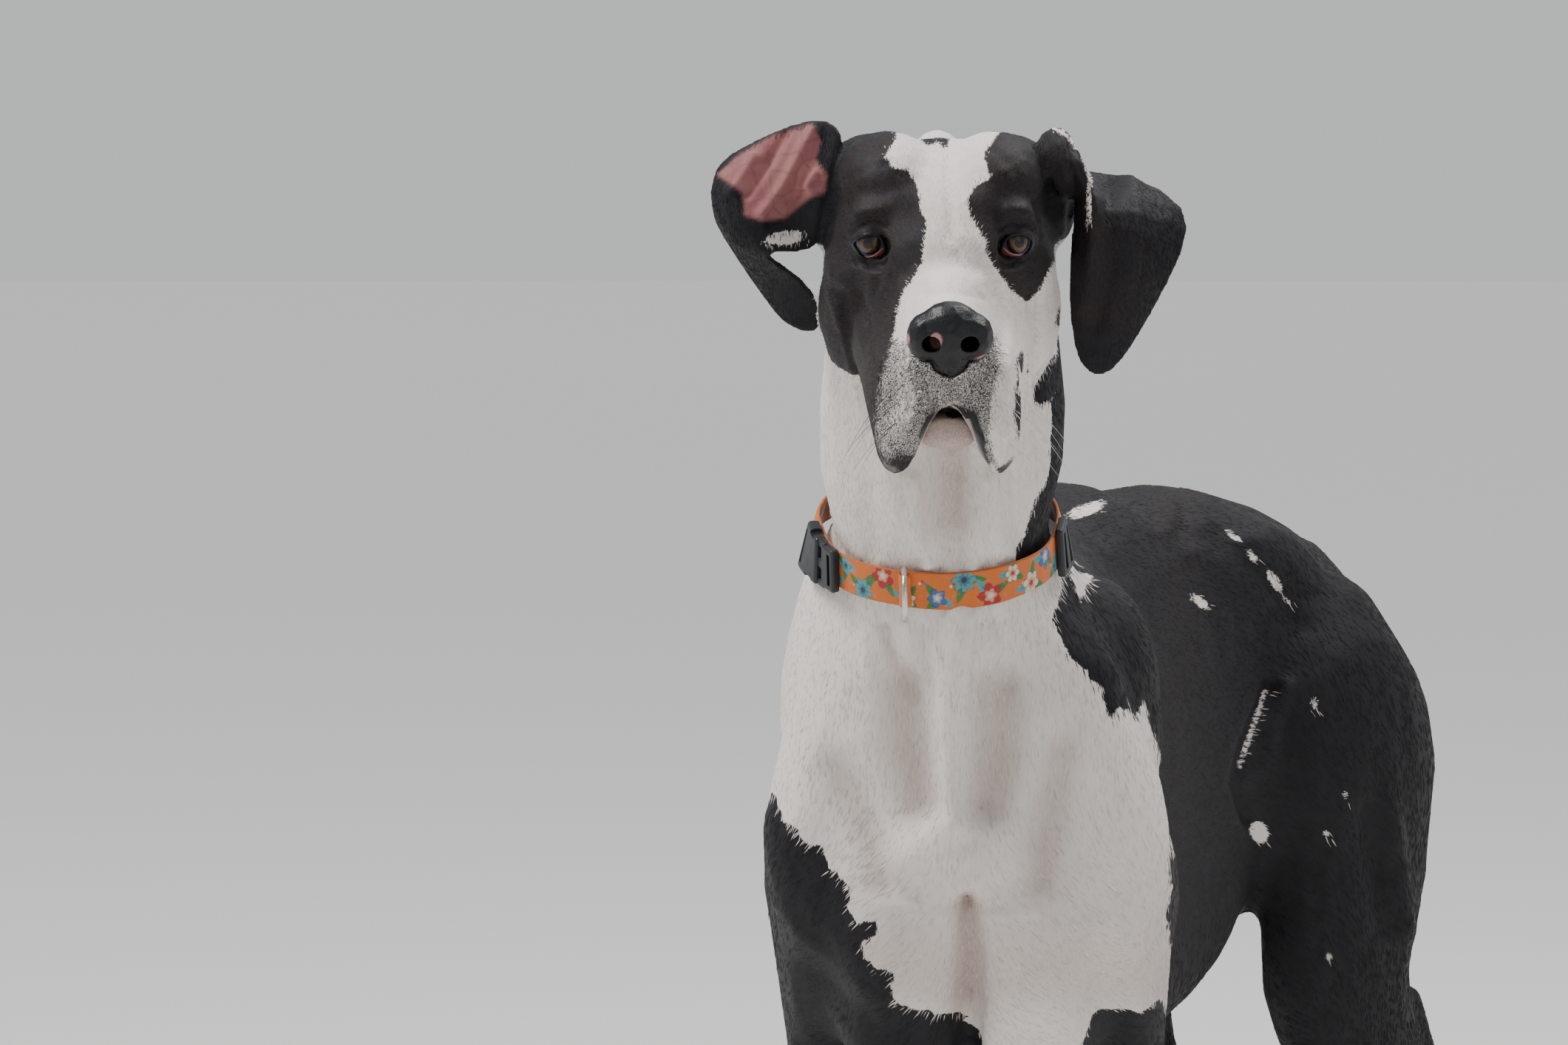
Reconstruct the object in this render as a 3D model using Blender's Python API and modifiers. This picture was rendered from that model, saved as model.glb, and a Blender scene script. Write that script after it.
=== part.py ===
"""A life-size great dane: it stands square, with its spine bent and its head turned to its left.

Metres, +Z up. The dog is laid out straight first: +X is its left, +Y its rear, and the ground is z = 0.
pose_trunk() then bends the trunk, and HEAD_PLACE sets the head. The origin ends up on the ground,
under the middle of the whole dog.
"""

import math

import bmesh
import bpy
import numpy as np
from mathutils import Matrix, Vector
from mathutils.bvhtree import BVHTree

# Driving dimensions
GAP = 0.0003  # between two pieces that meet
EYE_HEIGHT = 1.049
EYE_FORWARD = -0.118  # ahead of the prow of the chest
PUPIL_DISTANCE = 0.097
EYEBALL_RADIUS = 0.0125
PAW_HALF_WIDTH = 0.047
COLLAR_HEIGHT = 0.028
COLLAR_THICK = 0.0026
COLLAR_MIDDLE = (0, 0.058, 0.832)
COLLAR_TILT = math.radians(17)  # its front hangs lower than its back
COLLAR_CLEAR = 0.0012  # between the strap and the neck
COLLAR_SIDES = 72
BUCKLE_SIZE = (0.062, 0.037, 0.0095)  # along the strap, across it and thick
SLIDER_SIZE = (0.030, 0.038, 0.007)
RING_HEIGHT, RING_REACH, RING_WIRE = 0.036, 0.026, 0.0022
RING_ANGLE = math.radians(-9.5)  # round the neck from its front, positive to the dog's left
ROOM_DEEP = 0.05
RING_SWING = math.radians(15)
BUCKLE_ANGLE, SLIDER_ANGLE = math.radians(-69), math.radians(86)

# Pose
FRONT_TURN = math.radians(20)  # the forequarters face this far to the dog's left of -Y
REAR_TURN = math.radians(-18)
BEND_FROM, BEND_TO = 0.20, 0.60  # the stretch of spine that bends
NECK_TURN = math.radians(6)
NECK_TURNS_FROM, NECK_TURNS_TO = 0.78, 1.00
NECK_AXIS_Y = 0.05
NECK_LEAN = -0.022  # the neck stands this far to the dog's right of the spine
NECK_LEANS_FROM, NECK_LEANS_TO = 0.60, 0.86
RIGHT_HIND_STEP = -0.105  # how far the right hind paw stands ahead of the left one
HIP_HEIGHT, STIFLE_HEIGHT = 0.64, 0.32  # the step grows from one to the other
STEP_FROM_SIDE, STEP_ROOM = 0.03, 0.15
HEAD_YAW = FRONT_TURN + NECK_TURN
HEAD_PITCH = math.radians(10)

# Surface
TRUNK_VOXEL, HEAD_VOXEL, NOSE_VOXEL = 0.005, 0.0025, 0.0018
FULLNESS = 0.93  # below 1, a section is fuller than an oval
DOME = 0.8  # how far a tube's rounded end reaches, as a share of the tube's radius
TRUNK_SMOOTHING, HEAD_SMOOTHING = 90, 26
TRUNK_TRIANGLES, HEAD_TRIANGLES, NOSE_TRIANGLES = 4800, 3900, 300

# Rows of a tube: x, y, z of its middle, half width, half depth, and how much wider its far side is.
TORSO = [
    (0, 0.075, 0.606, 0.098, 0.135, 0.06),
    (0, 0.115, 0.618, 0.120, 0.184, 0.08),
    (0, 0.170, 0.628, 0.128, 0.208, 0.05),
    (0, 0.230, 0.630, 0.129, 0.211, 0.03),
    (0, 0.300, 0.627, 0.134, 0.214, -0.02),
    (0, 0.390, 0.628, 0.139, 0.219, -0.06),
    (0, 0.480, 0.634, 0.134, 0.223, -0.08),
    (0, 0.560, 0.652, 0.118, 0.210, -0.06),
    (0, 0.630, 0.682, 0.098, 0.174, 0.06),
    (0, 0.700, 0.696, 0.090, 0.131, 0.05),
    (0, 0.765, 0.692, 0.074, 0.092, 0.00),
    (0, 0.806, 0.680, 0.050, 0.064, 0.00),
]
NECK = [
    (0, 0.155, 0.600, 0.130, 0.154, 0.00),
    (0, 0.132, 0.700, 0.140, 0.140, 0.02),
    (0, 0.094, 0.785, 0.112, 0.118, 0.04),
    (0.004, 0.062, 0.838, 0.0790, 0.096, 0.05),
    (0.005, 0.038, 0.895, 0.0900, 0.092, 0.06),
    (0.005, 0.016, 0.960, 0.0895, 0.086, 0.05),
    (0, -0.008, 1.020, 0.078, 0.078, 0.00),
    (0, -0.030, 1.060, 0.060, 0.060, 0.00),
]
FORELEG = [
    (0.098, 0.085, 0.640, 0.036, 0.062, 0.0),
    (0.110, 0.130, 0.555, 0.042, 0.078, 0.0),
    (0.112, 0.172, 0.475, 0.037, 0.062, 0.0),
    (0.110, 0.182, 0.410, 0.034, 0.043, 0.0),
    (0.108, 0.178, 0.320, 0.0275, 0.0315, 0.0),
    (0.106, 0.175, 0.235, 0.0245, 0.0260, 0.0),
    (0.106, 0.172, 0.190, 0.0295, 0.0290, 0.0),
    (0.106, 0.173, 0.150, 0.0255, 0.0240, 0.0),
    (0.107, 0.164, 0.095, 0.0265, 0.0225, 0.0),
    (0.108, 0.146, 0.050, 0.0330, 0.0260, 0.0),
]
HINDLEG = [
    (0.062, 0.705, 0.725, 0.050, 0.088, 0.0),
    (0.078, 0.720, 0.640, 0.053, 0.118, 0.0),
    (0.090, 0.728, 0.560, 0.049, 0.112, 0.0),
    (0.100, 0.717, 0.490, 0.046, 0.097, 0.0),
    (0.105, 0.707, 0.430, 0.044, 0.086, 0.0),
    (0.105, 0.738, 0.370, 0.038, 0.069, 0.0),
    (0.104, 0.794, 0.305, 0.0290, 0.043, 0.0),
    (0.102, 0.846, 0.250, 0.0220, 0.0270, 0.0),
    (0.101, 0.870, 0.205, 0.0260, 0.0285, 0.0),
    (0.101, 0.870, 0.150, 0.0225, 0.0235, 0.0),
    (0.101, 0.864, 0.095, 0.0245, 0.0220, 0.0),
    (0.102, 0.848, 0.050, 0.0320, 0.0260, 0.0),
]
TAIL = [
    (0, 0.770, 0.765, 0.034, 0.036, 0.0),
    (0, 0.820, 0.735, 0.027, 0.028, 0.0),
    (0, 0.856, 0.665, 0.022, 0.022, 0.0),
    (0, 0.858, 0.580, 0.018, 0.018, 0.0),
    (0, 0.832, 0.480, 0.0150, 0.0150, 0.0),
    (0, 0.812, 0.390, 0.0125, 0.0125, 0.0),
    (0, 0.815, 0.310, 0.0095, 0.0095, 0.0),
    (0, 0.828, 0.250, 0.0060, 0.0060, 0.0),
]
FORE_PAW = (0.109, 0.128)  # x and y of its pad
HIND_PAW = (0.103, 0.830)
TOES = [  # how far outside the paw's middle, and ahead
    (-PAW_HALF_WIDTH * 0.76, 0.0),
    (-PAW_HALF_WIDTH * 0.27, 0.013),
    (PAW_HALF_WIDTH * 0.27, 0.013),
    (PAW_HALF_WIDTH * 0.76, 0.0),
]
# Lumps: x, y, z of the middle, the three radii, and the turn about X in degrees.
# All but those on x = 0 come in pairs.
TRUNK_LUMPS = {
    "shoulder_blade": ((0.095, 0.150, 0.690), (0.051, 0.082, 0.118), -22),
    "shoulder_point": ((0.100, 0.068, 0.610), (0.055, 0.052, 0.100), 0),
    "upper_arm": ((0.115, 0.135, 0.570), (0.045, 0.060, 0.115), 50),
    "triceps": ((0.106, 0.195, 0.580), (0.040, 0.062, 0.100), 10),
    "breast": ((0.050, 0.045, 0.575), (0.056, 0.048, 0.100), 0),
    "breast_top": ((0.058, 0.054, 0.690), (0.070, 0.050, 0.100), 0),
    "brisket": ((0.046, 0.100, 0.500), (0.060, 0.068, 0.088), 0),
    "low_ribs": ((0.070, 0.395, 0.522), (0.066, 0.225, 0.122), 0),
    "prow": ((0, 0.022, 0.595), (0.026, 0.030, 0.060), 0),
    "withers": ((0, 0.190, 0.790), (0.046, 0.120, 0.050), 0),
    "loin": ((0.040, 0.520, 0.768), (0.050, 0.160, 0.058), 0),
    "hip": ((0.054, 0.635, 0.762), (0.042, 0.100, 0.058), 0),
    "buttock": ((0.054, 0.804, 0.645), (0.044, 0.046, 0.090), 0),
    "thigh": ((0.098, 0.722, 0.606), (0.055, 0.112, 0.135), 10),
    "hamstring": ((0.082, 0.802, 0.560), (0.037, 0.042, 0.120), 6),
    "flank_fold": ((0.066, 0.612, 0.604), (0.020, 0.060, 0.058), 35),
    "elbow_point": ((0.114, 0.226, 0.480), (0.018, 0.024, 0.030), 0),
    "wrist_pad": ((0.106, 0.200, 0.165), (0.010, 0.009, 0.012), 0),
    "kneecap": ((0.107, 0.652, 0.440), (0.022, 0.022, 0.038), 0),
    "hock_point": ((0.101, 0.898, 0.222), (0.013, 0.014, 0.030), 12),
}
ACHILLES = [
    (0.103, 0.800, 0.400, 0.017, 0.024, 0.0),
    (0.102, 0.854, 0.315, 0.008, 0.013, 0.0),
    (0.101, 0.892, 0.242, 0.009, 0.011, 0.0),
]
WINDPIPE = [
    (0, -0.018, 0.805, 0.016, 0.014, 0.0),
    (0, -0.006, 0.745, 0.019, 0.020, 0.0),
    (0, 0.010, 0.680, 0.018, 0.020, 0.0),
    (0, 0.020, 0.620, 0.018, 0.018, 0.0),
]
RIGHT_DEWLAP = [  # the loose folds of skin down the throat to the collar
    (-0.030, -0.098, 0.965, 0.009, 0.012, 0.0),
    (-0.032, -0.074, 0.925, 0.010, 0.014, 0.0),
    (-0.028, -0.055, 0.885, 0.012, 0.015, 0.0),
    (-0.014, -0.046, 0.852, 0.013, 0.014, 0.0),
    (0.000, -0.040, 0.832, 0.010, 0.010, 0.0),
]
LEFT_DEWLAP = [
    (0.026, -0.098, 0.965, 0.009, 0.012, 0.0),
    (0.029, -0.074, 0.925, 0.010, 0.014, 0.0),
    (0.032, -0.054, 0.885, 0.012, 0.015, 0.0),
    (0.041, -0.042, 0.856, 0.014, 0.015, 0.0),
    (0.044, -0.030, 0.838, 0.010, 0.010, 0.0),
]

# The head, in its own frame: the origin is midway between the eyes, -Y the way the nose points.
SKULL = [
    (0, -0.152, -0.044, 0.032, 0.032, -0.12),
    (0, -0.132, -0.046, 0.037, 0.039, -0.18),
    (0, -0.100, -0.050, 0.039, 0.045, -0.20),
    (0, -0.062, -0.047, 0.042, 0.046, -0.20),
    (0, -0.034, -0.040, 0.049, 0.050, -0.14),
    (0, -0.008, -0.026, 0.061, 0.062, -0.06),
    (0, 0.024, -0.012, 0.073, 0.071, 0.05),
    (0, 0.060, -0.006, 0.078, 0.075, 0.08),
    (0, 0.100, -0.002, 0.075, 0.068, 0.06),
    (0, 0.132, 0.006, 0.060, 0.052, 0.00),
]
HEAD_LUMPS = {
    "forehead": ((0.038, 0.046, 0.047), (0.036, 0.058, 0.030), 0),
    "brow": ((0.040, -0.002, 0.028), (0.026, 0.020, 0.015), 0),
    "orbit": ((0.048, 0.006, 0.012), (0.021, 0.017, 0.021), 0),
    "temple": ((0.050, 0.078, 0.038), (0.032, 0.054, 0.032), 0),
    "cheekbone": ((0.059, 0.054, -0.020), (0.025, 0.066, 0.028), 0),
    "cheek": ((0.056, 0.056, -0.052), (0.032, 0.058, 0.052), 0),
    "crest": ((0, 0.110, 0.051), (0.018, 0.060, 0.014), 0),
    "whisker_pad": ((0.026, -0.136, -0.062), (0.024, 0.036, 0.030), 0),
    "ear_root": ((0.078, 0.080, 0.024), (0.022, 0.034, 0.040), 0),
    "throat": ((0, 0.030, -0.078), (0.054, 0.070, 0.036), 0),
}
FLEW = [  # the hanging upper lip, with the side of the muzzle over it
    (0.016, -0.156, -0.064, 0.015, 0.024, 0.0),
    (0.028, -0.148, -0.078, 0.016, 0.038, 0.0),
    (0.035, -0.132, -0.084, 0.016, 0.045, 0.0),
    (0.038, -0.106, -0.084, 0.015, 0.045, 0.0),
    (0.041, -0.074, -0.079, 0.015, 0.039, 0.0),
    (0.044, -0.040, -0.072, 0.015, 0.034, 0.0),
    (0.048, -0.004, -0.062, 0.016, 0.030, 0.0),
    (0.051, 0.030, -0.054, 0.014, 0.024, 0.0),
]
JAW = [
    (0, -0.150, -0.094, 0.017, 0.010, 0.0),
    (0, -0.132, -0.098, 0.022, 0.013, 0.0),
    (0, -0.090, -0.100, 0.026, 0.015, 0.0),
    (0, -0.040, -0.098, 0.032, 0.017, 0.0),
    (0, 0.010, -0.090, 0.042, 0.020, 0.0),
]
NOSE_LUMPS = {
    "pad": ((0, -0.172, -0.021), (0.0225, 0.0180, 0.0215), 0),
    "wing": ((0.0170, -0.171, -0.024), (0.0122, 0.0155, 0.0160), 0),
    "lip": ((0, -0.173, -0.039), (0.0120, 0.0110, 0.0110), 0),
}
NOSTRIL = [
    (0.0120, -0.200, -0.0265, 0.0062, 0.0056, 0.0),
    (0.0130, -0.180, -0.0260, 0.0062, 0.0056, 0.0),
    (0.0110, -0.168, -0.0235, 0.0034, 0.0034, 0.0),
]
LID_RADIUS = EYEBALL_RADIUS + 0.0028
LID_HINGE_AHEAD = 0.0070  # of the eyeball's middle: the line through both corners of the eye
UPPER_LID_ANGLE, LOWER_LID_ANGLE = math.radians(42), math.radians(52)
EYE_BACK, EYE_UP = -0.007, 0.0095
EYE_SPLAY = math.radians(9)
# What is hollowed out of the head before each eye, in the eye's frame.
EYE_HOLLOW = Matrix.Translation((0, -0.021, -0.001)) @ Matrix.Diagonal((0.0150, 0.0170, 0.0095, 1))

EAR_THICK = 0.0050
# Cages of the ears in the head's frame, in millimetres, a row for each step from the root to the tip.
LEFT_EAR = [
    [(60, 40, 58), (74, 30, 52), (84, 40, 34), (86, 70, 20), (80, 100, 20)],
    [(70, 46, 78), (90, 24, 64), (98, 30, 36), (102, 70, 26), (92, 110, 34)],
    [(88, 62, 80), (106, 26, 60), (104, 26, 20), (136, 52, 28), (136, 102, 38)],
    [(98, 60, 52), (100, 30, 22), (112, 22, -14), (152, 40, 6), (180, 78, 16)],
    [(94, 44, 10), (98, 30, -20), (112, 22, -50), (146, 30, -30), (173, 60, -10)],
    [(90, 36, -36), (95, 28, -60), (108, 22, -78), (130, 26, -64), (150, 44, -50)],
    [(96, 32, -76), (100, 28, -88), (110, 24, -96), (122, 26, -90), (132, 34, -78)],
]
RIGHT_EAR = [
    [(-66, 60, 70), (-74, 50, 56), (-82, 46, 34), (-86, 50, 10), (-84, 62, -6)],
    [(-78, 70, 84), (-92, 62, 66), (-100, 60, 36), (-102, 56, 8), (-96, 56, -12)],
    [(-104, 74, 78), (-116, 64, 60), (-124, 56, 34), (-122, 50, 8), (-112, 50, -10)],
    [(-136, 76, 62), (-146, 66, 48), (-146, 54, 26), (-138, 46, 4), (-124, 46, -10)],
    [(-160, 86, 46), (-168, 76, 30), (-160, 60, 10), (-144, 54, -8), (-118, 54, -18)],
    [(-152, 100, 26), (-158, 94, 6), (-148, 80, -14), (-126, 72, -30), (-96, 72, -34)],
    [(-136, 106, -4), (-142, 102, -26), (-128, 92, -46), (-106, 86, -56), (-84, 84, -54)],
    [(-114, 104, -46), (-118, 100, -60), (-108, 94, -72), (-94, 90, -78), (-82, 88, -74)],
]

# What parts the nodes, in the straight dog. A plane: a point on it and its turn about X in degrees.
HEAD_CUT = ((0, 0.000, 0.990), 45)
NECK_CUT = ((0, 0.090, 0.735), 46)
# A box: the point of the dog that it moves with, its middle, its size and its turn.
FORELEG_BOX = ((0.110, 0.150, 0.450), (0.200, 0.130, 0.215), (0.290, 0.400, 0.560), 0)
HINDLEG_BOX = ((0.100, 0.720, 0.450), (0.215, 0.800, 0.235), (0.320, 0.420, 0.500), -12)
TAIL_BOX = ((0, 0.830, 0.600), (0, 0.8975, 0.450), (0.070, 0.200, 0.540), -8.5)

BLACK_COAT = ((0.030, 0.028, 0.030), 0.62)
WHITE_COAT = ((0.780, 0.740, 0.700), 0.75)
COLOURS = {
    "head": WHITE_COAT,
    "neck": WHITE_COAT,
    "jaw": WHITE_COAT,
    "nose": ((0.025, 0.027, 0.032), 0.35),
    "eye": ((0.180, 0.080, 0.020), 0.08),
    "claw": ((0.060, 0.052, 0.048), 0.40),
    "collar_strap": ((0.700, 0.200, 0.060), 0.85),
    "collar_buckle": ((0.015, 0.017, 0.022), 0.40),
    "collar_slider": ((0.015, 0.017, 0.022), 0.40),
    "collar_ring": ((0.700, 0.690, 0.660), 0.25),
}


def clear_scene():
    for old in list(bpy.data.objects):
        bpy.data.objects.remove(old, do_unlink=True)


def collection(name, hidden=False):
    made = bpy.data.collections.new(name)
    made.hide_render = hidden
    bpy.context.scene.collection.children.link(made)
    return made


def smoothstep(x, start, end):
    t = np.clip((x - start) / (end - start), 0, 1)
    return t * t * (3 - 2 * t)


def spline(rows, per_span):
    """A Catmull-Rom curve through the rows, of any number of columns."""
    rows = np.array(rows, float)
    ends = np.concatenate([[2 * rows[0] - rows[1]], rows, [2 * rows[-1] - rows[-2]]])
    t = np.linspace(0, 1, per_span, endpoint=False)[:, None]
    spans = [
        0.5 * (2 * b + (c - a) * t + (2 * a - 5 * b + 4 * c - d) * t**2 + (3 * b - a - 3 * c + d) * t**3)
        for a, b, c, d in zip(ends, ends[1:], ends[2:], ends[3:])
    ]
    return np.concatenate([*spans, rows[-1:]])


def spine_tables(step=0.002, length=1.2):
    """The spine's course on the ground: its points and its turn, every step from -length to length."""
    y = np.arange(-length, length, step)
    turn = FRONT_TURN + (REAR_TURN - FRONT_TURN) * smoothstep(y, BEND_FROM, BEND_TO)
    along = np.stack([-np.sin(turn), np.cos(turn)], axis=1)
    points = np.cumsum(along, axis=0) * step
    points -= [np.interp(0, y, points[:, k]) for k in range(2)]
    return y, points, turn


SPINE_Y, SPINE_POINTS, SPINE_TURN = spine_tables()


def pose_trunk(co):
    """Points of the straight dog, bent along the spine, with the right hind leg a step ahead."""
    x, y, z = co.T
    in_right_hind = (x < -STEP_FROM_SIDE) & (y > BEND_TO - STEP_ROOM)
    y = y + RIGHT_HIND_STEP * (1 - smoothstep(z, STIFLE_HEIGHT, HIP_HEIGHT)) * in_right_hind
    turn = np.interp(y, SPINE_Y, SPINE_TURN)
    base = [np.interp(y, SPINE_Y, SPINE_POINTS[:, k]) for k in range(2)]
    return np.stack([base[0] + x * np.cos(turn), base[1] + x * np.sin(turn), z], axis=1)


def turn_neck(co):
    """Leans the neck to one side and turns it about its upright axis, further towards the head."""
    turn = NECK_TURN * smoothstep(co[:, 2], NECK_TURNS_FROM, NECK_TURNS_TO)
    lean = NECK_LEAN * smoothstep(co[:, 2], NECK_LEANS_FROM, NECK_LEANS_TO)
    x, y = co[:, 0] + lean, co[:, 1] - NECK_AXIS_Y
    turned = [x * np.cos(turn) - y * np.sin(turn), NECK_AXIS_Y + x * np.sin(turn) + y * np.cos(turn)]
    return np.stack([*turned, co[:, 2]], axis=1)


def pose_neck(co):
    return pose_trunk(turn_neck(co))


def head_place():
    middle = Matrix.Translation(pose_neck(np.array([[0, EYE_FORWARD, EYE_HEIGHT]]))[0])
    return middle @ Matrix.Rotation(HEAD_YAW, 4, "Z") @ Matrix.Rotation(HEAD_PITCH, 4, "X")


HEAD_PLACE = head_place()
COLLAR_PLACE = (
    Matrix.Translation(pose_neck(np.array([COLLAR_MIDDLE]))[0])
    @ Matrix.Rotation(FRONT_TURN, 4, "Z")
    @ Matrix.Rotation(COLLAR_TILT, 4, "X")
)


def pose_head(co):
    place = np.array(HEAD_PLACE)
    return co @ place[:3, :3].T + place[:3, 3]


def ring_points(row, across, deep, sides, scale=1.0):
    angle = np.arange(sides) * 2 * math.pi / sides
    sine, cosine = (np.sign(f) * np.abs(f) ** FULLNESS for f in (np.sin(angle), np.cos(angle)))
    width = row[3] * scale * (1 + row[5] * sine) * cosine
    depth = row[4] * scale * sine
    return row[:3] + width[:, None] * across + depth[:, None] * deep


def add_tube(bm, rows, sides=20, per_span=4, domed=True):
    """A closed tube of oval sections, with rounded ends."""
    rows = spline(rows, per_span)
    tangents = np.gradient(rows[:, :3], axis=0)
    tangents /= np.linalg.norm(tangents, axis=1)[:, None]
    across = np.array([1.0, 0, 0]) - tangents * tangents[:, :1]
    across /= np.linalg.norm(across, axis=1)[:, None]
    deep = np.cross(across, tangents)
    rings = [ring_points(*at, sides) for at in zip(rows, across, deep)]
    if domed:
        for end, way in ((0, -1), (-1, 1)):
            reach = DOME * min(rows[end, 3], rows[end, 4])
            domes = [
                ring_points(rows[end], across[end], deep[end], sides, math.cos(a))
                + tangents[end] * way * reach * math.sin(a)
                for a in (0.5, 1.0, 1.35)
            ]
            rings = domes[::-1] + rings if way < 0 else rings + domes
    made = [[bm.verts.new(p) for p in ring] for ring in rings]
    for low, high in zip(made, made[1:]):
        for i in range(sides):
            j = (i + 1) % sides
            bm.faces.new((low[i], low[j], high[j], high[i]))
    bm.faces.new(made[0][::-1])
    bm.faces.new(made[-1])


def add_lump(bm, middle, radii, turn):
    turned = Matrix.Translation(middle) @ Matrix.Rotation(math.radians(turn), 4, "X")
    place = turned @ Matrix.Diagonal((*radii, 1))
    bmesh.ops.create_uvsphere(bm, u_segments=20, v_segments=12, radius=1, matrix=place)


def both_sides(rows):
    rows = np.array(rows, float)
    return [rows, rows * [-1] + rows * [0, *[2] * (rows.shape[1] - 1)]]


def add_lumps(bm, lumps):
    for middle, radii, turn in lumps.values():
        for side in (1, -1) if middle[0] else (1,):
            add_lump(bm, (middle[0] * side, *middle[1:]), radii, turn)


def new_object(name, mesh, into):
    made = bpy.data.objects.new(name, mesh)
    into.objects.link(made)
    made.hide_render = into.hide_render
    if into.hide_render:
        made.display_type = "WIRE"
    return made


def mesh_of(bm, pose=None):
    bmesh.ops.recalc_face_normals(bm, faces=bm.faces)
    mesh = bpy.data.meshes.new("form")
    bm.to_mesh(mesh)
    bm.free()
    if pose:
        mesh.vertices.foreach_set("co", pose(points_of(mesh)).ravel())
    return mesh


def settle(obj):
    """Replaces the object's mesh by what its modifiers make of it."""
    bpy.context.view_layer.update()
    graph = bpy.context.evaluated_depsgraph_get()
    mesh = bpy.data.meshes.new_from_object(obj.evaluated_get(graph))
    old = obj.data
    obj.modifiers.clear()
    obj.data = mesh
    bpy.data.meshes.remove(old)
    return obj


def join_meshes(name, meshes, into):
    bm = bmesh.new()
    for mesh in meshes:
        bm.from_mesh(mesh)
        bpy.data.meshes.remove(mesh)
    made = new_object(name, mesh_of(bm), into)
    return made


def thin_out(obj, triangles):
    """Decimates to about that many triangles."""
    reduce = obj.modifiers.new("thin", "DECIMATE")
    reduce.ratio = min(1, triangles / sum(len(p.vertices) - 2 for p in obj.data.polygons))
    return settle(obj)


def points_of(mesh):
    co = np.empty(len(mesh.vertices) * 3)
    mesh.vertices.foreach_get("co", co)
    return co.reshape(-1, 3)


def melt(obj, voxel, smoothing, softness=None):
    """Runs overlapping forms into one skin. softness gives each point's share of the smoothing."""
    remesh = obj.modifiers.new("melt", "REMESH")
    remesh.mode = "VOXEL"
    remesh.voxel_size = voxel
    settle(obj)
    smooth = obj.modifiers.new("smooth", "SMOOTH")
    smooth.iterations = smoothing
    if softness:
        group = obj.vertex_groups.new(name="softness")
        for index, share in enumerate(softness(points_of(obj.data))):
            group.add([index], share, "REPLACE")
        smooth.vertex_group = group.name
    return settle(obj)


def grown(obj, by, into):
    """A copy of a closed object, its surface moved out by so much."""
    copy = new_object(obj.name + "_grown", obj.data.copy(), into)
    swell = copy.modifiers.new("swell", "DISPLACE")
    swell.strength = by
    swell.mid_level = 0
    return settle(copy)


def largest_body(obj):
    """Keeps the largest closed surface, by the size of its box."""
    bm = bmesh.new()
    bm.from_mesh(obj.data)
    left, bodies = set(bm.verts), []
    while left:
        todo, body = [left.pop()], []
        while todo:
            v = todo.pop()
            body.append(v)
            for edge in v.link_edges:
                other = edge.other_vert(v)
                if other in left:
                    left.remove(other)
                    todo.append(other)
        bodies.append(body)

    def size(body):
        co = np.array([v.co for v in body])
        return np.prod(np.ptp(co, axis=0) + GAP)

    bodies.sort(key=size)
    loose = [v for body in bodies[:-1] for v in body]
    bmesh.ops.delete(bm, geom=loose, context="VERTS")
    bm.to_mesh(obj.data)
    bm.free()
    return obj


def boolean(obj, others, operation):
    for other in others:
        cut = obj.modifiers.new(operation.lower(), "BOOLEAN")
        cut.operation = operation
        cut.object = other
        cut.solver = "EXACT"
    return settle(obj)


def rigid_at(point, pose):
    """The move that carries the straight dog near a point to where the pose puts it, without bending it."""
    start, beside = pose(np.array([point, (point[0] + GAP, *point[1:])]))
    heading = math.atan2(beside[1] - start[1], beside[0] - start[0])
    return Matrix.Translation(start) @ Matrix.Rotation(heading, 4, "Z") @ Matrix.Translation(-Vector(point))


def box(middle, size, turn, into, place=Matrix.Identity(4), grow=0.0):
    bm = bmesh.new()
    scale = Matrix.Diagonal([s + 2 * grow for s in size] + [1])
    turned = Matrix.Translation(middle) @ Matrix.Rotation(math.radians(turn), 4, "X")
    bmesh.ops.create_cube(bm, size=1, matrix=place @ turned @ scale)
    return new_object("box", mesh_of(bm), into)


def part_off(whole, name, boxes, nodes):
    """Takes what lies inside a box off the whole as a node. boxes: the box, and the box with the gap."""
    piece = new_object(name, whole.data.copy(), nodes)
    boolean(piece, [boxes[0]], "INTERSECT")
    largest_body(piece)
    boolean(whole, [boxes[1]], "DIFFERENCE")
    return piece


def cut_boxes(moves_with, middle, size, turn, cutters, pose=pose_trunk):
    """The box for a piece, and the one that also takes the gap round it off the rest."""
    place = rigid_at(moves_with, pose)
    return [box(middle, size, turn, cutters, place, grow) for grow in (0, GAP)]


def above_plane(point, turn, cutters, pose, reach=0.9):
    """Boxes for all that lies above a tilted plane."""
    up = Matrix.Rotation(math.radians(turn), 3, "X") @ Vector((0, 0, reach / 2))
    return cut_boxes(point, Vector(point) + up, (reach, reach, reach), turn, cutters, pose)


def on_side(point, side):
    return point[0] * side, *point[1:]


def add_paw(bm, x, y):
    """Four arched toes and the pad behind them, cut flat by the ground later."""
    side = math.copysign(1, x)
    for offset, ahead in TOES:
        at, front = x + offset * side, y - ahead
        toe = [
            (at - offset * side * 0.25, y + 0.014, 0.044, 0.0135, 0.0140, 0.0),
            (at - offset * side * 0.05, front - 0.016, 0.040, 0.0140, 0.0150, 0.0),
            (at, front - 0.038, 0.026, 0.0140, 0.0150, 0.0),
            (at, front - 0.046, 0.013, 0.0125, 0.0120, 0.0),
        ]
        add_tube(bm, toe, sides=14)
    add_lump(bm, (x, y + 0.002, 0.014), (0.030, 0.028, 0.018), 0)
    add_lump(bm, (x, y + 0.012, 0.045), (0.033, 0.030, 0.022), 0)


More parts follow.
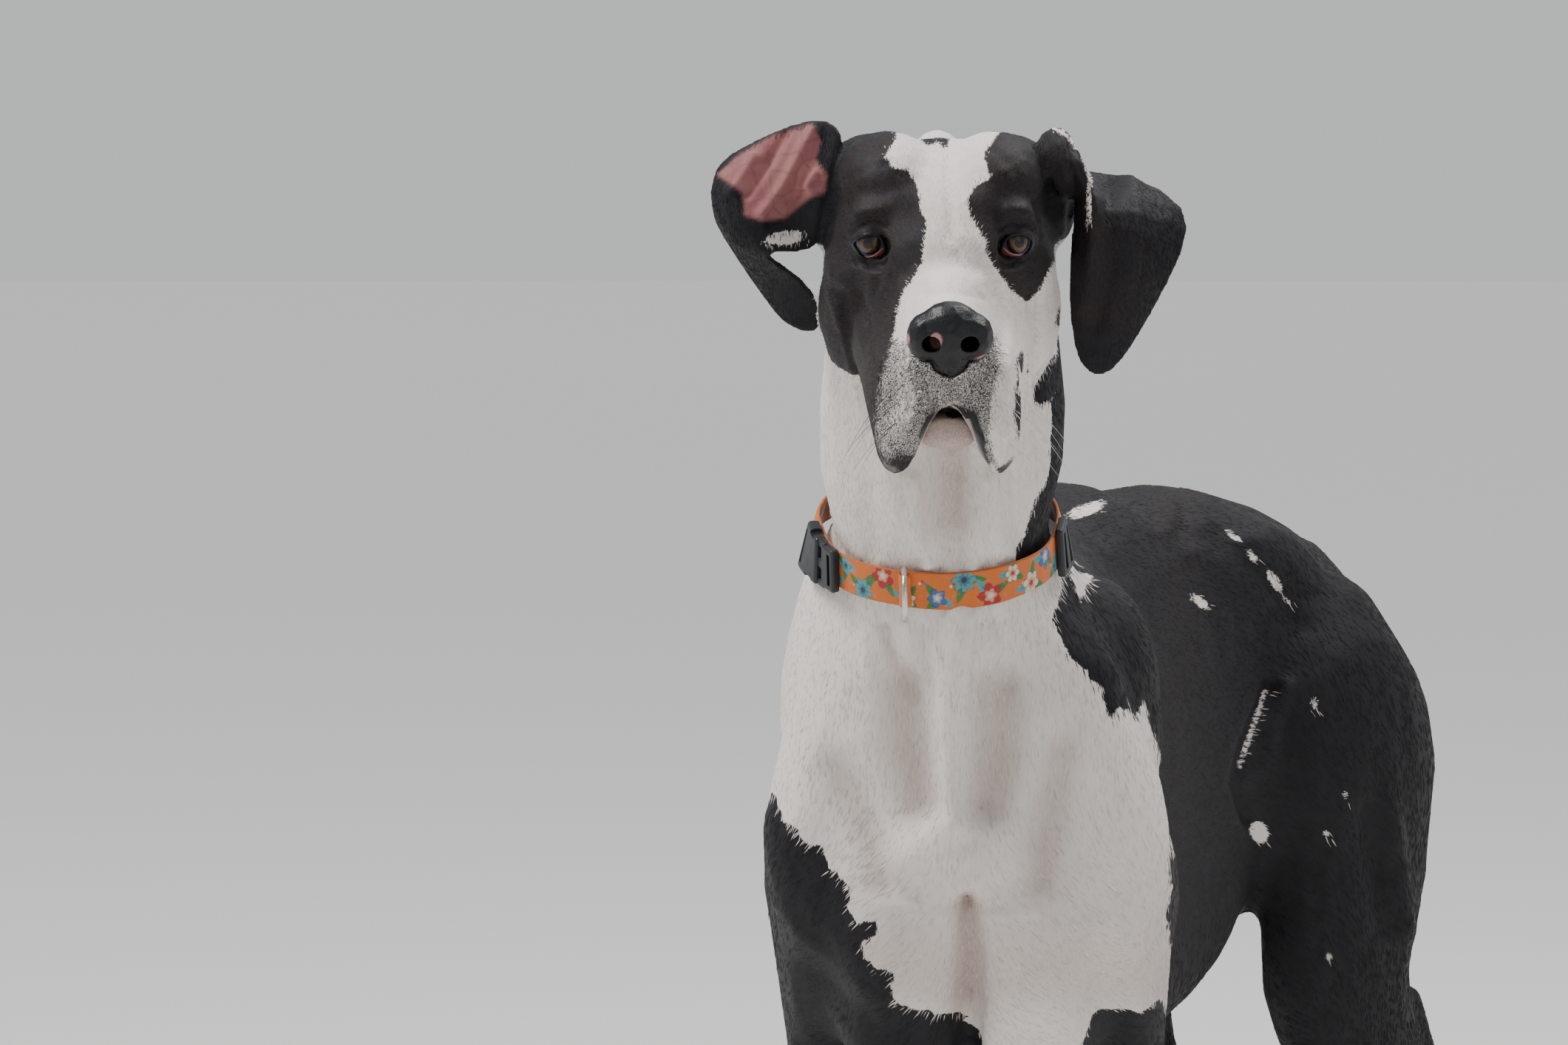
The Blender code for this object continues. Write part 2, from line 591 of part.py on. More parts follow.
def build_claws(leg, x, y, nodes, cutters):
    """A claw on each toe, set into the leg."""
    for number, (offset, ahead) in enumerate(TOES, 1):
        at, front = x + offset * math.copysign(1, x), y - ahead - 0.050
        rows = [
            (at, front + 0.004, 0.0215, 0.0040, 0.0044, 0.0),
            (at, front - 0.008, 0.0185, 0.0038, 0.0044, 0.0),
            (at, front - 0.017, 0.0125, 0.0028, 0.0034, 0.0),
            (at, front - 0.023, 0.0060, 0.0010, 0.0014, 0.0),
        ]
        bm = bmesh.new()
        add_tube(bm, rows, sides=8, per_span=1, domed=False)
        claw = new_object(f"claw_{leg.name}_{number}", mesh_of(bm, pose_trunk), nodes)
        boolean(leg, [grown(claw, GAP, cutters)], "DIFFERENCE")
    largest_body(leg)


def neck_mesh():
    bm = bmesh.new()
    add_tube(bm, NECK, sides=32, per_span=6)
    for rows in (RIGHT_DEWLAP, LEFT_DEWLAP):
        add_tube(bm, rows, sides=12)
    return mesh_of(bm, pose_neck)


def trunk_softness(co):
    """How much of the smoothing each point gets: little on the paws, legs and tail."""
    tail = pose_trunk(spline(TAIL, 6)[:, :3])
    far = np.min([np.linalg.norm(co - at, axis=1) for at in tail[8:]], axis=0)
    legs = 0.06 + 0.94 * smoothstep(co[:, 2], 0.24, 0.60)
    return np.minimum(legs, 0.10 + 0.90 * smoothstep(far, 0.03, 0.07))


def trunk_flesh(cutters):
    bm = bmesh.new()
    add_tube(bm, TORSO, sides=36, per_span=5)
    add_tube(bm, TAIL, sides=12)
    add_tube(bm, WINDPIPE, sides=12)
    add_lumps(bm, TRUNK_LUMPS)
    for leg in (FORELEG, HINDLEG, ACHILLES):
        for rows in both_sides(leg):
            add_tube(bm, rows)
    for x, y in (FORE_PAW, HIND_PAW):
        for side in (1, -1):
            add_paw(bm, x * side, y)
    trunk = join_meshes("trunk", [mesh_of(bm, pose_trunk), neck_mesh()], cutters)
    melt(trunk, TRUNK_VOXEL, TRUNK_SMOOTHING, trunk_softness)
    return thin_out(trunk, TRUNK_TRIANGLES)


def head_flesh(cutters):
    bm = bmesh.new()
    add_tube(bm, SKULL, sides=32, per_span=6)
    add_lumps(bm, HEAD_LUMPS)
    for rows in both_sides(FLEW):
        add_tube(bm, rows, sides=16)
    head = join_meshes("head_flesh", [mesh_of(bm, pose_head), neck_mesh()], cutters)
    melt(head, HEAD_VOXEL, HEAD_SMOOTHING)
    return thin_out(head, HEAD_TRIANGLES)


def eye_place(side):
    """Where an eyeball sits, looking ahead and a little outwards."""
    middle = Matrix.Translation((PUPIL_DISTANCE / 2 * side, EYE_BACK, EYE_UP))
    return HEAD_PLACE @ middle @ Matrix.Rotation(EYE_SPLAY * side, 4, "Z")


def ball(name, radius, place, into):
    bm = bmesh.new()
    bmesh.ops.create_uvsphere(bm, u_segments=18, v_segments=10, radius=radius, matrix=place)
    return new_object(name, mesh_of(bm), into)


def wedge(place, into):
    """The opening between the lids: a prism whose edge is the line through the corners of the eye."""
    reach = 0.05
    up, down = reach * math.tan(UPPER_LID_ANGLE), reach * math.tan(LOWER_LID_ANGLE)
    bm = bmesh.new()
    corners = [(-LID_HINGE_AHEAD, 0), (-LID_HINGE_AHEAD - reach, -down), (-LID_HINGE_AHEAD - reach, up)]
    ends = [[bm.verts.new((x, y, z)) for y, z in corners] for x in (-reach, reach)]
    for i in range(3):
        j = (i + 1) % 3
        bm.faces.new((ends[0][i], ends[0][j], ends[1][j], ends[1][i]))
    bm.faces.new(ends[0][::-1])
    bm.faces.new(ends[1])
    bm.transform(place)
    return new_object("wedge", mesh_of(bm), into)


def build_eyes(head, nodes, cutters):
    """Eyeballs in their sockets, behind lids that grow from the head."""
    for side, name in ((1, "left"), (-1, "right")):
        place = eye_place(side)
        lids = ball("lids", LID_RADIUS, place, cutters)
        boolean(lids, [wedge(place, cutters)], "DIFFERENCE")
        boolean(head, [ball("hollow", 1, place @ EYE_HOLLOW, cutters)], "DIFFERENCE")
        boolean(head, [lids], "UNION")
        boolean(head, [ball("socket", EYEBALL_RADIUS + GAP, place, cutters)], "DIFFERENCE")
        ball("eye_" + name, EYEBALL_RADIUS, place, nodes)


def build_nose(head, nodes, cutters):
    bm = bmesh.new()
    add_lumps(bm, NOSE_LUMPS)
    nose = new_object("nose", mesh_of(bm, pose_head), nodes)
    melt(nose, NOSE_VOXEL, 4)
    thin_out(nose, NOSE_TRIANGLES)
    boolean(head, [grown(nose, GAP * 2, cutters)], "DIFFERENCE")
    for rows in both_sides(NOSTRIL):
        bm = bmesh.new()
        add_tube(bm, rows, sides=10, per_span=2)
        nostril = new_object("nostril", mesh_of(bm, pose_head), cutters)
        boolean(nose, [nostril], "DIFFERENCE")


def build_jaw(head, nodes, cutters):
    bm = bmesh.new()
    add_tube(bm, JAW, sides=14, per_span=3)
    jaw = new_object("jaw", mesh_of(bm, pose_head), nodes)
    boolean(head, [grown(jaw, GAP * 3, cutters)], "DIFFERENCE")


def ear_sheet(name, rows, into):
    bm = bmesh.new()
    verts = [[bm.verts.new(Vector(p) / 1000) for p in row] for row in rows]
    for low, high in zip(verts, verts[1:]):
        for a, b, c, d in zip(low, low[1:], high[1:], high):
            bm.faces.new((a, b, c, d))
    ear = new_object(name, mesh_of(bm, pose_head), into)
    rounder = ear.modifiers.new("rounder", "SUBSURF")
    rounder.levels = rounder.render_levels = 1
    thick = ear.modifiers.new("thick", "SOLIDIFY")
    thick.thickness = EAR_THICK
    thick.offset = 0
    settle(ear)
    soft = ear.modifiers.new("soft", "BEVEL")
    soft.width = EAR_THICK * 0.3
    soft.segments = 1
    soft.limit_method = "ANGLE"
    soft.angle_limit = math.radians(50)
    return settle(ear)


def build_ears(head, nodes, cutters):
    room = grown(head, GAP * 2, cutters)
    for name, rows in (("ear_left", LEFT_EAR), ("ear_right", RIGHT_EAR)):
        ear = ear_sheet(name, rows, nodes)
        boolean(ear, [room], "DIFFERENCE")
        largest_body(ear)


def collar_place(angle, out, up=0.0):
    """A frame on the collar at that angle: X along the strap, -Y outwards, Z across the strap."""
    turned = Matrix.Rotation(angle, 4, "Z")
    return COLLAR_PLACE @ turned @ Matrix.Translation((0, -out, up))


def collar_radii(neck):
    """How far the neck reaches at each angle, at the strap's lower and upper edge."""
    tree = BVHTree.FromObject(neck, bpy.context.evaluated_depsgraph_get())
    levels = np.linspace(-0.5, 0.5, 5) * COLLAR_HEIGHT
    reach = np.zeros((COLLAR_SIDES, 5))
    for i in range(COLLAR_SIDES):
        place = collar_place(2 * math.pi * i / COLLAR_SIDES, 0)
        out = place.to_3x3() @ Vector((0, -1, 0))
        for k, level in enumerate(levels):
            hit = tree.ray_cast(place @ Vector((0, 0, level)) + out * 0.25, -out, 0.25)
            reach[i, k] = 0.25 - hit[3]
    edges = np.stack([reach[:, :3].max(axis=1), reach[:, 2:].max(axis=1)], axis=1)
    widest = np.max([np.roll(edges, k, axis=0) for k in (-2, -1, 0, 1, 2)], axis=0)
    return np.mean([np.roll(widest, k, axis=0) for k in (-1, 0, 1)], axis=0) + COLLAR_CLEAR


def band(name, lower, upper, thick, height, into):
    """A closed strap round the neck, from the radii of its lower and upper edges."""
    bm = bmesh.new()
    rings = []
    for i, (low, high) in enumerate(zip(lower, upper)):
        angle = 2 * math.pi * i / len(lower)
        corners = ((low, -0.5), (low + thick, -0.5), (high + thick, 0.5), (high, 0.5))
        rings.append([bm.verts.new(collar_place(angle, r, h * height).translation) for r, h in corners])
    for i, ring in enumerate(rings):
        following = rings[(i + 1) % len(rings)]
        for k in range(4):
            bm.faces.new((ring[k], ring[(k + 1) % 4], following[(k + 1) % 4], following[k]))
    return new_object(name, mesh_of(bm), into)


def rounded_box(name, size, place, into, bevel):
    bm = bmesh.new()
    bmesh.ops.create_cube(bm, size=1, matrix=Matrix.Diagonal((*size, 1)))
    bmesh.ops.bevel(bm, geom=bm.edges, offset=bevel, segments=2, profile=0.6, affect="EDGES")
    bm.transform(place)
    return new_object(name, mesh_of(bm), into)


def wire(name, points, radius, place, into, closed):
    curve = bpy.data.curves.new(name, "CURVE")
    curve.dimensions = "3D"
    curve.bevel_depth = radius
    curve.bevel_resolution = 2
    curve.use_fill_caps = True
    path = curve.splines.new("POLY")
    path.points.add(len(points) - 1)
    for at, p in zip(path.points, points):
        at.co = (*p, 1)
    path.use_cyclic_u = closed
    made = new_object(name, curve, into)
    bpy.context.view_layer.update()
    mesh = bpy.data.meshes.new_from_object(made.evaluated_get(bpy.context.evaluated_depsgraph_get()))
    bpy.data.objects.remove(made, do_unlink=True)
    mesh.transform(place)
    return new_object(name, mesh, into)


def build_collar(neck, nodes, cutters):
    """The strap, its plastic buckle and slider, and the D-ring in its sleeve."""
    lower, upper = collar_radii(neck).T
    strap = band("collar_strap", lower, upper, COLLAR_THICK, COLLAR_HEIGHT, nodes)

    def reach(angle):
        index = round(angle / (2 * math.pi) * COLLAR_SIDES) % COLLAR_SIDES
        return (lower[index] + upper[index]) / 2, (upper[index] - lower[index]) / COLLAR_HEIGHT

    lean_out = (upper - lower) / 2
    room_radii = lower - lean_out - ROOM_DEEP, upper + lean_out - ROOM_DEEP
    for name, angle, size in (("buckle", BUCKLE_ANGLE, BUCKLE_SIZE), ("slider", SLIDER_ANGLE, SLIDER_SIZE)):
        at, slope = reach(angle)
        lean = Matrix.Rotation(math.atan(slope), 4, "X")
        place = collar_place(angle, at + COLLAR_THICK + GAP + size[2] / 2) @ lean
        block = rounded_box("collar_" + name, (size[0], size[2], size[1]), place, nodes, size[2] * 0.3)
        room = band("room", *room_radii, ROOM_DEEP + COLLAR_THICK + 3 * GAP, COLLAR_HEIGHT * 2, cutters)
        boolean(block, [room], "DIFFERENCE")
        largest_body(block)

    at, slope = reach(RING_ANGLE)
    bar_out = at + COLLAR_THICK + RING_WIRE + 0.0008
    place = collar_place(RING_ANGLE, bar_out) @ Matrix.Rotation(math.atan(slope), 4, "X")
    half = RING_HEIGHT / 2
    arc = [math.radians(a) for a in range(-75, 76, 15)]
    bow = [(0, -RING_REACH * 0.35 - RING_REACH * 0.65 * math.cos(a), half * math.sin(a)) for a in arc]
    outline = [(0, 0, half * 0.90), (0, -0.002, half), *bow[::-1], (0, -0.002, -half), (0, 0, -half * 0.90)]
    wire("collar_ring", outline, RING_WIRE, place @ Matrix.Rotation(RING_SWING, 4, "Z"), nodes, closed=True)
    sleeve = rounded_box("sleeve", (0.0085, 0.0075, COLLAR_HEIGHT * 0.86), place, cutters, 0.002)
    boolean(strap, [sleeve], "UNION")
    bm = bmesh.new()
    room = RING_WIRE + GAP
    bmesh.ops.create_cone(bm, cap_ends=True, segments=12, radius1=room, radius2=room, depth=0.1, matrix=place)
    boolean(strap, [new_object("bore", mesh_of(bm), cutters)], "DIFFERENCE")


def paint(obj):
    key = next((k for k in COLOURS if obj.name.startswith(k)), None)
    colour, roughness = COLOURS.get(key, BLACK_COAT)
    material = bpy.data.materials.new(obj.name)
    material.use_nodes = True
    shader = material.node_tree.nodes["Principled BSDF"]
    shader.inputs["Base Color"].default_value = (*colour, 1)
    shader.inputs["Roughness"].default_value = roughness
    shader.inputs["Metallic"].default_value = 1.0 if obj.name == "collar_ring" else 0.0
    obj.data.materials.clear()
    obj.data.materials.append(material)


def centre_on_ground(nodes):
    """Moves everything so that the middle of the box round it is over the origin."""
    corners = np.array([o.matrix_world @ Vector(c) for o in nodes.objects for c in o.bound_box])
    middle = (corners.min(axis=0) + corners.max(axis=0)) / 2
    for o in nodes.objects:
        o.data.transform(Matrix.Translation((-middle[0], -middle[1], 0)))


def main():
    clear_scene()
    nodes = collection("great_dane")
    cutters = collection("cutters", hidden=True)
    trunk = trunk_flesh(cutters)
    boolean(trunk, [box((0, 0.4, -0.15), (2, 2, 0.3), 0, cutters)], "DIFFERENCE")
    for side, word in ((1, "left"), (-1, "right")):
        for name, leg_box, paw in (("foreleg", FORELEG_BOX, FORE_PAW), ("hindleg", HINDLEG_BOX, HIND_PAW)):
            moves_with, middle, size, turn = leg_box
            boxes = cut_boxes(on_side(moves_with, side), on_side(middle, side), size, turn, cutters)
            leg = part_off(trunk, f"{name}_{word}", boxes, nodes)
            build_claws(leg, *on_side(paw, side), nodes, cutters)
    part_off(trunk, "tail", cut_boxes(*TAIL_BOX, cutters), nodes)
    neck = part_off(trunk, "neck", above_plane(*NECK_CUT, cutters, pose_trunk), nodes)
    head_boxes = above_plane(*HEAD_CUT, cutters, pose_neck)
    boolean(neck, [head_boxes[1]], "DIFFERENCE")
    largest_body(neck)
    torso = new_object("torso", trunk.data.copy(), nodes)
    largest_body(torso)
    flesh = head_flesh(cutters)
    head = new_object("head", flesh.data.copy(), nodes)
    boolean(head, [head_boxes[0]], "INTERSECT")
    build_eyes(head, nodes, cutters)
    build_nose(head, nodes, cutters)
    build_jaw(head, nodes, cutters)
    largest_body(head)
    build_ears(head, nodes, cutters)
    build_collar(neck, nodes, cutters)
    centre_on_ground(nodes)
    for obj in nodes.objects:
        paint(obj)


main()
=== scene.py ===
"""The looks of a life-size great dane: its skin, coat, eyes, nose and collar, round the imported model.

Metres. The row frame has +Z up, the dog's left at +X and its rear at +Y. Two more frames are used:
the straight dog (x to its left, y along its spine, z up), and the head's own frame, whose origin is
midway between the eyes with -Y the way the nose points. Outlines of markings are given in pixels of
the photo, 2121 by 1414, and laid on the skin through the scene's own camera.
"""

import math

import bmesh
import bpy
import numpy as np
from mathutils import Matrix, Vector
from mathutils.bvhtree import BVHTree


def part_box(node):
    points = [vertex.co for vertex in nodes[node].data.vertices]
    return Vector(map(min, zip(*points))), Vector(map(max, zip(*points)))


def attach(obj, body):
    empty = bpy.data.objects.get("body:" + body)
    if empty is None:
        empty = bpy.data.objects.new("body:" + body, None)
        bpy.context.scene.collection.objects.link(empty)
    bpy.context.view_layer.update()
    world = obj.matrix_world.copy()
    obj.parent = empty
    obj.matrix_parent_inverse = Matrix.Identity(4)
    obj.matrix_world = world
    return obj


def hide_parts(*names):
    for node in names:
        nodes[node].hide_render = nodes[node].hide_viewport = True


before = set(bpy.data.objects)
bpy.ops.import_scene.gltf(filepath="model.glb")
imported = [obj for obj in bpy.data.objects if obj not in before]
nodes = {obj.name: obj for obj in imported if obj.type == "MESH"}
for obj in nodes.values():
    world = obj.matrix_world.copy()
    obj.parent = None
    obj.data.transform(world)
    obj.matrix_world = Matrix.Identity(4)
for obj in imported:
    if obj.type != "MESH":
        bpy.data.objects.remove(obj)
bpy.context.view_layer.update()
rng = np.random.default_rng(11)

# The pose, as the solids have it
EYE_HEIGHT, EYE_FORWARD = 1.049, -0.118
EYE_BACK, EYE_UP = -0.007, 0.0095
EYE_SPLAY = math.radians(9)
EYEBALL_RADIUS = 0.0125
HEAD_PITCH = math.radians(10)
FRONT_TURN, REAR_TURN, NECK_TURN = math.radians(20), math.radians(-18), math.radians(6)
BEND_FROM, BEND_TO = 0.20, 0.60
NECK_AXIS_Y, NECK_LEAN = 0.05, -0.022
COLLAR_MIDDLE = (0, 0.058, 0.832)
COLLAR_TILT = math.radians(17)
COLLAR_HEIGHT = 0.028

# The camera, from the prow of the chest
CAMERA_DISTANCE, CAMERA_HEIGHT = 3.70, 1.12
CAMERA_AZIMUTH = math.radians(24.0)
PHOTO_WIDTH, PHOTO_HEIGHT = 2121, 1414
FOCAL_PIXELS = 6945.0
SENSOR = 36.0
PROW_HEIGHT = 0.575
PROW_PIXEL = (1299.0, 1219.5)

# Skin
BODY_VOXEL, HEAD_VOXEL, NOSE_VOXEL = 0.0042, 0.0022, 0.0009
GROW = 0.0006  # closes the gaps between the solids


# Frames


def smoothstep(x, start, end):
    t = np.clip((x - start) / (end - start), 0, 1)
    return t * t * (3 - 2 * t)


def spine_tables(step=0.002, length=1.2):
    y = np.arange(-length, length, step)
    turn = FRONT_TURN + (REAR_TURN - FRONT_TURN) * smoothstep(y, BEND_FROM, BEND_TO)
    along = np.stack([-np.sin(turn), np.cos(turn)], axis=1)
    points = np.cumsum(along, axis=0) * step
    points -= [np.interp(0, y, points[:, k]) for k in range(2)]
    return y, points, turn


SPINE_Y, SPINE_POINTS, SPINE_TURN = spine_tables()


def pose_trunk(co):
    x, y, z = co.T
    turn = np.interp(y, SPINE_Y, SPINE_TURN)
    base = [np.interp(y, SPINE_Y, SPINE_POINTS[:, k]) for k in range(2)]
    return np.stack([base[0] + x * np.cos(turn), base[1] + x * np.sin(turn), z], axis=1)


def box_middle(node):
    low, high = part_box(node)
    return (low + high) / 2


def frames():
    """The head's place, and how far the solids were moved to stand over the origin."""
    eye_right, eye_left = box_middle("eye_right"), box_middle("eye_left")
    yaw = math.atan2(eye_left.y - eye_right.y, eye_left.x - eye_right.x)
    turned = Matrix.Rotation(yaw, 4, "Z") @ Matrix.Rotation(HEAD_PITCH, 4, "X")
    middle = (eye_left + eye_right) / 2 - turned.to_3x3() @ Vector((0, EYE_BACK, EYE_UP))
    # where the same point stands before that move
    neck_y = EYE_FORWARD - NECK_AXIS_Y
    straight = np.array([[
        NECK_LEAN * math.cos(NECK_TURN) - neck_y * math.sin(NECK_TURN),
        NECK_AXIS_Y + NECK_LEAN * math.sin(NECK_TURN) + neck_y * math.cos(NECK_TURN),
        EYE_HEIGHT,
    ]])
    shift = middle - Vector(pose_trunk(straight)[0])
    shift.z = 0
    return Matrix.Translation(middle) @ turned, shift


HEAD_PLACE, SHIFT = frames()
HEAD_ARRAY = np.array(HEAD_PLACE)


def to_head(co):
    return (co - HEAD_ARRAY[:3, 3]) @ HEAD_ARRAY[:3, :3]


def to_straight(co):
    """Points of the posed dog in the straight dog."""
    flat = co[:, :2] - np.array(SHIFT)[:2]
    y = np.interp(flat[:, 1], SPINE_POINTS[:, 1], SPINE_Y)
    for _ in range(12):
        turn = np.interp(y, SPINE_Y, SPINE_TURN)
        base = np.stack([np.interp(y, SPINE_Y, SPINE_POINTS[:, k]) for k in range(2)], axis=1)
        y = y + ((flat - base) * np.stack([-np.sin(turn), np.cos(turn)], axis=1)).sum(axis=1)
    turn = np.interp(y, SPINE_Y, SPINE_TURN)
    base = np.stack([np.interp(y, SPINE_Y, SPINE_POINTS[:, k]) for k in range(2)], axis=1)
    x = ((flat - base) * np.stack([np.cos(turn), np.sin(turn)], axis=1)).sum(axis=1)
    return np.stack([x, y, co[:, 2]], axis=1)


def camera_frame():
    """The camera's place, and its right, up and forward directions."""
    place = Vector((math.sin(CAMERA_AZIMUTH), -math.cos(CAMERA_AZIMUTH), 0)) * CAMERA_DISTANCE
    place.z = CAMERA_HEIGHT
    off = math.atan2(PROW_PIXEL[0] - PHOTO_WIDTH / 2, FOCAL_PIXELS)
    pitch = math.atan2(PROW_PIXEL[1] - PHOTO_HEIGHT / 2, FOCAL_PIXELS)
    down = math.atan2(CAMERA_HEIGHT - PROW_HEIGHT, CAMERA_DISTANCE) - pitch
    heading = math.atan2(-place.x, -place.y) - off
    ahead = Vector((
        math.sin(heading) * math.cos(down),
        math.cos(heading) * math.cos(down),
        -math.sin(down),
    ))
    right = ahead.cross(Vector((0, 0, 1))).normalized()
    return place + SHIFT, right, right.cross(ahead), ahead


CAMERA_PLACE, CAMERA_RIGHT, CAMERA_TOP, CAMERA_AHEAD = camera_frame()


def photo_points(co):
    """Where points lie in the photo, in pixels."""
    away = co - np.array(CAMERA_PLACE)
    depth = away @ np.array(CAMERA_AHEAD)
    across = PHOTO_WIDTH / 2 + FOCAL_PIXELS * (away @ np.array(CAMERA_RIGHT)) / depth
    down = PHOTO_HEIGHT / 2 - FOCAL_PIXELS * (away @ np.array(CAMERA_TOP)) / depth
    return np.stack([across, down], axis=1)


def make_camera():
    data = bpy.data.cameras.new("camera")
    data.sensor_width = SENSOR
    data.lens = FOCAL_PIXELS / PHOTO_WIDTH * SENSOR
    data.clip_end = 60
    made = bpy.data.objects.new("camera", data)
    bpy.context.scene.collection.objects.link(made)
    made.location = CAMERA_PLACE
    made.rotation_euler = (-CAMERA_AHEAD).to_track_quat("Z", "Y").to_euler()
    bpy.context.scene.camera = made


# Meshes


def new_object(name, mesh):
    made = bpy.data.objects.new(name, mesh)
    bpy.context.scene.collection.objects.link(made)
    return made


def piece(name, mesh, material, stands_for=()):
    """A shown piece of the dog."""
    made = new_object(name, mesh)
    mesh.materials.clear()
    mesh.materials.append(material)
    mesh.shade_smooth()
    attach(made, "root")
    if stands_for:
        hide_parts(*stands_for)
    return made


def mesh_from(name, co, quads=(), tris=()):
    """A mesh from arrays of points and of corner numbers."""
    mesh = bpy.data.meshes.new(name)
    quads, tris = np.array(quads, int).reshape(-1, 4), np.array(tris, int).reshape(-1, 3)
    loops = np.concatenate([quads.ravel(), tris.ravel()])
    starts = np.concatenate([
        np.arange(len(quads)) * 4,
        len(quads) * 4 + np.arange(len(tris)) * 3,
    ])
    mesh.vertices.add(len(co))
    mesh.vertices.foreach_set("co", np.asarray(co, np.float32).ravel())
    mesh.loops.add(len(loops))
    mesh.loops.foreach_set("vertex_index", loops.astype(np.int32))
    mesh.polygons.add(len(starts))
    mesh.polygons.foreach_set("loop_start", starts.astype(np.int32))
    mesh.update(calc_edges=True)
    return mesh


def points_of(mesh):
    co = np.empty(len(mesh.vertices) * 3, np.float32)
    mesh.vertices.foreach_get("co", co)
    return co.reshape(-1, 3).astype(float)


def normals_of(mesh):
    made = np.empty(len(mesh.vertices) * 3, np.float32)
    mesh.vertex_normals.foreach_get("vector", made)
    return made.reshape(-1, 3).astype(float)


def set_points(mesh, co):
    mesh.vertices.foreach_set("co", np.asarray(co, np.float32).ravel())
    mesh.update()


def edges_of(mesh):
    pairs = np.empty(len(mesh.edges) * 2, np.int32)
    mesh.edges.foreach_get("vertices", pairs)
    return pairs.reshape(-1, 2)


def spread(values, pairs, count):
    """The mean of each vertex's neighbours."""
    a, b = pairs.T
    number = np.bincount(a, minlength=count) + np.bincount(b, minlength=count)
    sums = [
        np.bincount(a, weights=values[b, k], minlength=count)
        + np.bincount(b, weights=values[a, k], minlength=count)
        for k in range(values.shape[1])
    ]
    return np.stack(sums, axis=1) / np.maximum(number, 1)[:, None]


def relax(mesh, passes, share=None, shrink_back=0.53):
    """Smooths without losing bulk: each pass is one step in and a slightly longer one out."""
    co, pairs = points_of(mesh), edges_of(mesh)
    share = 1.0 if share is None else share[:, None]
    for _ in range(passes):
        co += 0.5 * share * (spread(co, pairs, len(co)) - co)
        co -= shrink_back * share * (spread(co, pairs, len(co)) - co)
    set_points(mesh, co)


def add_attribute(mesh, name, values, kind="FLOAT"):
    """Values for each vertex: numbers, colours or, with kind FLOAT_VECTOR, vectors."""
    made = mesh.attributes.new(name, kind, "POINT")
    if kind == "FLOAT_COLOR":
        values = np.concatenate([values, np.ones((len(values), 1))], axis=1)
    field = {"FLOAT": "value", "FLOAT_COLOR": "color", "FLOAT_VECTOR": "vector"}[kind]
    made.data.foreach_set(field, np.asarray(values, np.float32).ravel())


def ring_quads(rings, count, first=0, closed=False):
    """Quads between rings of points that follow each other; closed joins the last ring to the first."""
    quads = []
    for r in range(rings if closed else rings - 1):
        here, there = first + r * count, first + (r + 1) % rings * count
        for k in range(count):
            following = (k + 1) % count
            quads.append((here + k, here + following, there + following, there + k))
    return quads


def apply_modifiers(obj):
    bpy.context.view_layer.update()
    graph = bpy.context.evaluated_depsgraph_get()
    mesh = bpy.data.meshes.new_from_object(obj.evaluated_get(graph))
    bpy.data.objects.remove(obj, do_unlink=True)
    return mesh


def melted(names, voxel, grow=GROW):
    """One closed skin round several solids."""
    bm = bmesh.new()
    for name in names:
        start = len(bm.verts)
        bm.from_mesh(nodes[name].data)
        bm.verts.ensure_lookup_table()
        bmesh.ops.remove_doubles(bm, verts=bm.verts[start:], dist=1e-6)
        bm.verts.ensure_lookup_table()
    bm.normal_update()
    for v in bm.verts:
        v.co += v.normal * grow
    mesh = bpy.data.meshes.new("skin")
    bm.to_mesh(mesh)
    bm.free()
    made = new_object("melting", mesh)
    remesh = made.modifiers.new("melt", "REMESH")
    remesh.mode = "VOXEL"
    remesh.voxel_size = voxel
    return apply_modifiers(made)


def keep_where(mesh, keep):
    """Deletes the vertices that aren't to be kept."""
    bm = bmesh.new()
    bm.from_mesh(mesh)
    bm.verts.ensure_lookup_table()
    bmesh.ops.delete(bm, geom=[bm.verts[i] for i in np.flatnonzero(~keep)], context="VERTS")
    bm.to_mesh(mesh)
    bm.free()


# Materials


def material(name, colour=(0.5, 0.5, 0.5), roughness=0.5, **inputs):
    """A Principled material; returns it with its tree and shader."""
    made = bpy.data.materials.new(name)
    made.use_nodes = True
    tree = made.node_tree
    shader = tree.nodes["Principled BSDF"]
    shader.inputs["Base Color"].default_value = (*colour, 1)
    shader.inputs["Roughness"].default_value = roughness
    for key, value in inputs.items():
        socket = shader.inputs[key.replace("_", " ")]
        socket.default_value = (*value, 1) if isinstance(value, tuple) else value
    return made, tree, shader


def node(tree, kind, settings=None, **inputs):
    """A shader node. Inputs are values or sockets, by name with _ for a space, or by number as in0."""
    made = tree.nodes.new("ShaderNode" + kind)
    for key, value in (settings or {}).items():
        setattr(made, key, value)
    for key, value in inputs.items():
        socket = made.inputs[int(key[2:])] if key.startswith("in") else made.inputs[key.replace("_", " ")]
        if isinstance(value, bpy.types.NodeSocket):
            tree.links.new(value, socket)
        elif isinstance(value, tuple) and len(value) == 3 and len(socket.default_value) == 4:
            socket.default_value = (*value, 1)
        else:
            socket.default_value = value
    return made


def calc(tree, operation, *values):
    """The result of a Math node."""
    inputs = {f"in{k}": value for k, value in enumerate(values)}
    return node(tree, "Math", {"operation": operation}, **inputs).outputs[0]


def mixed(tree, factor, a, b):
    """A colour between two colours or sockets."""
    made = tree.nodes.new("ShaderNodeMix")
    made.data_type = "RGBA"
    for socket, value in ((made.inputs[0], factor), (made.inputs[6], a), (made.inputs[7], b)):
        if isinstance(value, bpy.types.NodeSocket):
            tree.links.new(value, socket)
        elif isinstance(value, tuple):
            socket.default_value = (*value, 1)
        else:
            socket.default_value = value
    return made.outputs[2]


